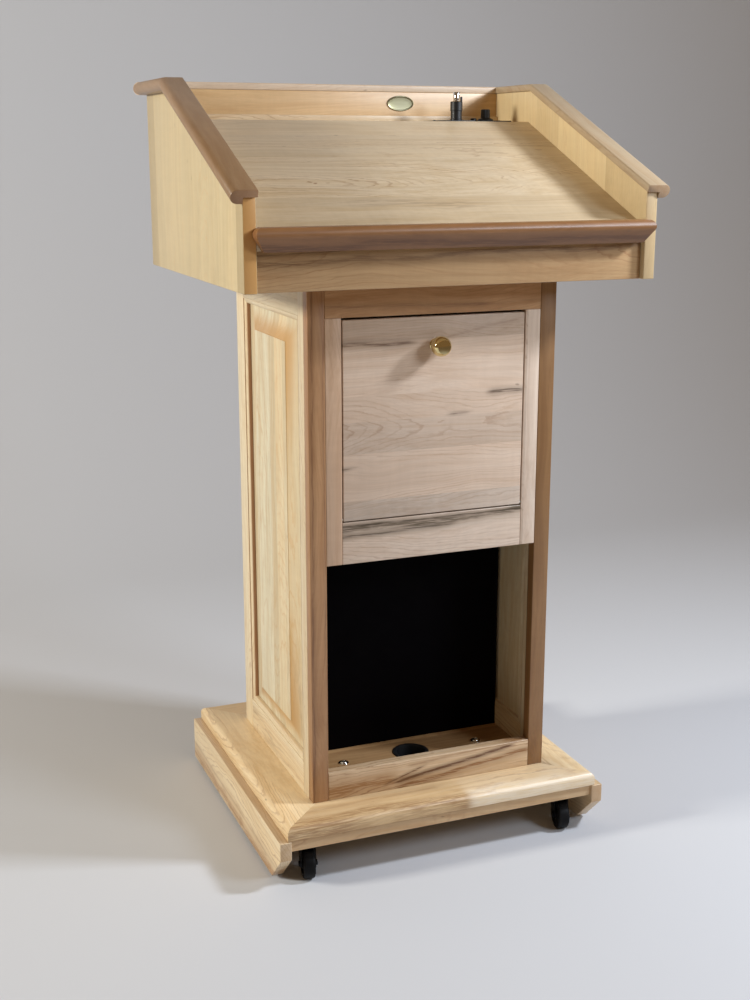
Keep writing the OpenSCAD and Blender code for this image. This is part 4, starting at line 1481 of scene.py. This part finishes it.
@dataclass
class Electronics:
    """Microphone socket, volume control and plaque."""

    plate: float = 2 * MM
    plate_width: float = 66 * MM
    screw_edge: float = 6 * MM
    cap_gap: float = 23 * MM
    barrel: float = 10.5 * MM
    shell_bore: float = 4.8 * MM
    flutes: int = 18

    def build(self) -> None:
        """Builds what stands on the shelf and the plaque on the riser."""
        self.cover_plates()
        self.socket()
        self.volume_knob()
        self.plaque()
        dress_node("volume_control", speckled(Finish.STEEL))
        dress_node("volume_shaft", speckled(Finish.STEEL))

    def cover_plates(self) -> None:
        """Two thin plates with eased edges and pan-head screws, and a small cap by the knob."""
        lo, hi = box("control_plates")
        top, middle = lo[2] + self.plate, (lo[1] + hi[1]) / 2
        wide, edge = self.plate_width, self.screw_edge
        shells = [
            block((x0, lo[1], lo[2]), (x1, hi[1], top), 0.6 * MM)
            for x0, x1 in ((lo[0], lo[0] + wide), (hi[0] - wide, hi[0]))
        ]
        head = mm((0, 0), (2.5, 0), (2.3, 0.7), (1.4, 1.15), (0, 1.2))
        for x in (lo[0] + edge, lo[0] + wide - edge, hi[0] - edge):
            shells.append(lathe(head, (x, middle, top), Z, 24))
        cap = mm((0, 0), (5.5, 0), (5.5, 3.0), (4.9, 4.1), (3.6, 4.5), (0, 4.5))
        shells.append(lathe(cap, (centre_of("volume_knob")[0] - self.cap_gap, middle, top), Z, 32))
        plain(joined(shells), "control_covers", Finish.BLACK_PLATE, "black_plate", "control_plates")

    def socket(self) -> None:
        """Microphone socket: waisted body, bright shell and release tab."""
        foot, top = box("microphone_socket")[0][2], box("microphone_socket")[1][2]
        lo, hi = box("socket_shell")
        x, y, _ = centre_of("socket_shell")
        base = box("control_plates")[0][2] + self.plate
        height, wide, waist = top - base, self.barrel, self.barrel - 0.8 * MM
        lower = [(0, 0), (wide, 0), (wide, 2.4 * MM), (waist, 3.2 * MM), (waist, 16.0 * MM)]
        upper = [(wide, 16.8 * MM), (wide, height - 1.0 * MM), (wide - 1.0 * MM, height), (0, height)]
        nut, stem = 12 * MM, 6.9 * MM
        below = [(0, 0), (nut, 0), (nut, 4 * MM), (stem, 4 * MM), (stem, base - foot), (0, base - foot)]
        shell = lathe(lower + upper, (x, y, base), Z, 48).merge(lathe(below, (x, y, foot), Z, 48))
        plain(shell, "socket_body", Finish.BLACK_PLASTIC, "black_plastic", "microphone_socket")
        outer, tall, bore = (hi[0] - lo[0]) / 2, hi[2] - lo[2], self.shell_bore
        groove = outer - 0.35 * MM
        tube = [(0, 0), (outer, 0), (outer, 2 * MM), (groove, 2.4 * MM), (groove, 3.4 * MM)]
        rim = [(outer, 3.8 * MM), (outer, tall - 0.5 * MM), (groove, tall)]
        mouth = [(bore, tall - 0.2 * MM), (bore, 2 * MM), (0, 2 * MM)]
        shell = lathe(tube + rim + mouth, (x, y, lo[2]), Z, 48)
        plain(shell, "bright_shell", Finish.CHROME, "chrome", "socket_shell")
        shell = block(*box("socket_latch"), 0.6 * MM)
        plain(shell, "release_tab", Finish.BLACK_PLASTIC, "black_plastic", "socket_latch", body="latch")

    def volume_knob(self) -> None:
        """Knob with a skirt, a fluted grip and a crowned top.

        The grip's radius is r + a * cos(18 * angle), so that its flutes are one smooth curve.
        """
        lo, hi = box("volume_knob")
        skirt, tall = (hi[0] - lo[0]) / 2 / MM, hi[2] - lo[2]
        heights = np.array([0, 0, 2.0, 3.0, 3.6, 4.2, 5.2, 17.0, 18.2, 18.5, 18.5]) / 18.5 * tall
        radii = np.array([0, skirt, skirt, skirt - 1.6, 9.8, 8.2, 7.9, 7.6, 6.9, 5.8, 0]) * MM
        depth = np.array([0, 0, 0, 0, 0, 0.2, 0.3, 0.3, 0.15, 0, 0]) * MM
        angle = np.linspace(0, 2 * np.pi, 8 * self.flutes, endpoint=False)
        r = np.maximum(radii[:, None] + depth[:, None] * np.cos(self.flutes * angle), 1e-9)
        rings = np.stack([r * np.cos(angle), r * np.sin(angle), heights[:, None] + 0 * r], -1)
        x, y, _ = centre_of("volume_knob")
        shell = loft(rings + (x, y, lo[2]))
        plain(shell, "volume_grip", Finish.BLACK_PLASTIC, "black_plastic", "volume_knob", body="volume")

    def plaque(self) -> None:
        """Plain oval plaque: rings of one oval, with a raised bead near its edge."""
        lo, hi = box("badge")
        x, _, z = centre_of("badge")
        half_w, thick, half_h = (hi - lo) * (0.5, 1.0, 0.5)
        angle = np.linspace(0, 2 * np.pi, 96, endpoint=False)
        inset = np.array([0, 0, 0.3, 1.0, 1.8, 2.4, 2.9, 3.4, 12.0])[:, None] * MM
        rise = np.array([0, 0.65, 0.85, 1.0, 0.92, 0.72, 0.6, 0.56, 0.62])[:, None] * thick
        across, up = (half_w - inset) * np.cos(angle), (half_h - inset) * np.sin(angle)
        shell = loft(np.stack([x + across, hi[1] - rise + 0 * across, z + up], -1))
        plain(shell, "oval_plaque", Finish.BADGE_BRASS, "badge_brass", "badge")


# ---------------------------------------------------------------- studio


@dataclass
class Studio:
    """Floor, backdrop, lights and camera."""

    eye: tuple[float, float, float] = (-0.8582, -2.0883, 1.1126)
    tilt: float = 75.74
    swing: float = -21.75
    lens: float = 49.8
    half_width: float = 7.0
    front: float = -6.0
    bend: float = 1.4
    radius: float = 1.2
    wall: float = 4.5

    def build(self) -> None:
        """Sets the stage."""
        self.camera()
        self.floor()
        self.lights()

    def camera(self) -> None:
        """Camera at a standing person's eye height, left of the presenter's place."""
        data = bpy.data.cameras.new("camera")
        data.lens = self.lens
        data.sensor_width = 36.0
        camera = linked("camera", data)
        camera.location = self.eye
        camera.rotation_euler = (math.radians(self.tilt), 0.0, math.radians(self.swing))
        bpy.context.scene.camera = camera

    def floor(self) -> None:
        """Pale floor that curves up into a pale backdrop.

        Its height is 0 on the floor and follows a quarter circle up to the wall.
        """
        turn = np.linspace(0.1, np.pi / 2, 16)
        curve = self.bend + self.radius * np.sin(turn)
        run = np.concatenate([[self.front, self.bend], curve, [self.bend + self.radius]])
        rise = np.concatenate([[0.0, 0.0], self.radius * (1 - np.cos(turn)), [self.wall]])
        xs = np.array([[-self.half_width], [self.half_width]])
        verts = np.stack(np.broadcast_arrays(xs, run, rise), -1).reshape(-1, 3)
        j = np.arange(len(run) - 1)
        faces = np.column_stack([j, j + len(run), j + len(run) + 1, j + 1])
        mesh = bpy.data.meshes.new("sweep")
        mesh.from_pydata(verts, [], faces.tolist())
        mesh.polygons.foreach_set("use_smooth", np.ones(len(faces), dtype=bool))
        sweep = linked("sweep", mesh)
        material, _, shader = blank("sweep")
        shader.inputs["Base Color"].default_value = (0.6, 0.61, 0.63, 1.0)
        shader.inputs["Roughness"].default_value = 0.85
        mesh.materials.append(material)

    def lights(self) -> None:
        """Large soft key from the left, a smaller one from the right, a fill and a pale room."""
        world = bpy.data.worlds.new("room")
        world.use_nodes = True
        tree = Tree(world.node_tree)
        glow = tree.add("Background", {"Color": (1.0, 0.65, 0.37, 1.0), "Strength": 0.185})[0]
        wall = tree.add("Background", {"Color": (0.36, 0.37, 0.38, 1.0), "Strength": 1.0})[0]
        seen = tree.add("LightPath")["Is Camera Ray"]
        both = tree.add("MixShader", {0: seen, 1: glow, 2: wall})[0]
        tree.put(world.node_tree.nodes["World Output"].inputs["Surface"], both)
        bpy.context.scene.world = world
        self.area("right_key", (1.43, -0.85, 1.79), (0.0, -0.1, 0.85), 0.26, 35.0, (0.92, 1.0, 1.13))
        self.area("left_key", (-4.2, 0.3, 2.2), (-0.2, 0.0, 0.6), 0.6, 142.0, (1.0, 0.98, 0.9))
        self.area("front_fill", (1.6, -2.4, 2.0), (0.0, -0.1, 0.5), 0.8, 30.0, (0.88, 1.0, 1.14))

    def area(
        self,
        name: str,
        place: Sequence[float],
        aim: Sequence[float],
        size: float,
        power: float,
        colour: Sequence[float],
    ) -> None:
        """Adds one square area light.

        Args:
            name: the light's name.
            place: where it stands.
            aim: the point it looks at.
            size: its side in metres.
            power: its power in watts.
            colour: its colour.
        """
        data = bpy.data.lights.new(name, "AREA")
        data.size = size
        data.energy = power
        data.color = colour
        lamp = linked(name, data)
        lamp.location = place
        lamp.rotation_euler = (Vector(aim) - Vector(place)).to_track_quat("-Z", "Y").to_euler()


def main() -> None:
    """Builds the stage and every sub-assembly."""
    logging.basicConfig(level=logging.INFO, format="%(message)s")
    bpy.context.scene.view_settings.view_transform = "Standard"
    for assembly in (Studio(), Desk(), Pedestal(), Flap(), Base(), Electronics()):
        assembly.build()


if __name__ == "__main__":
    main()
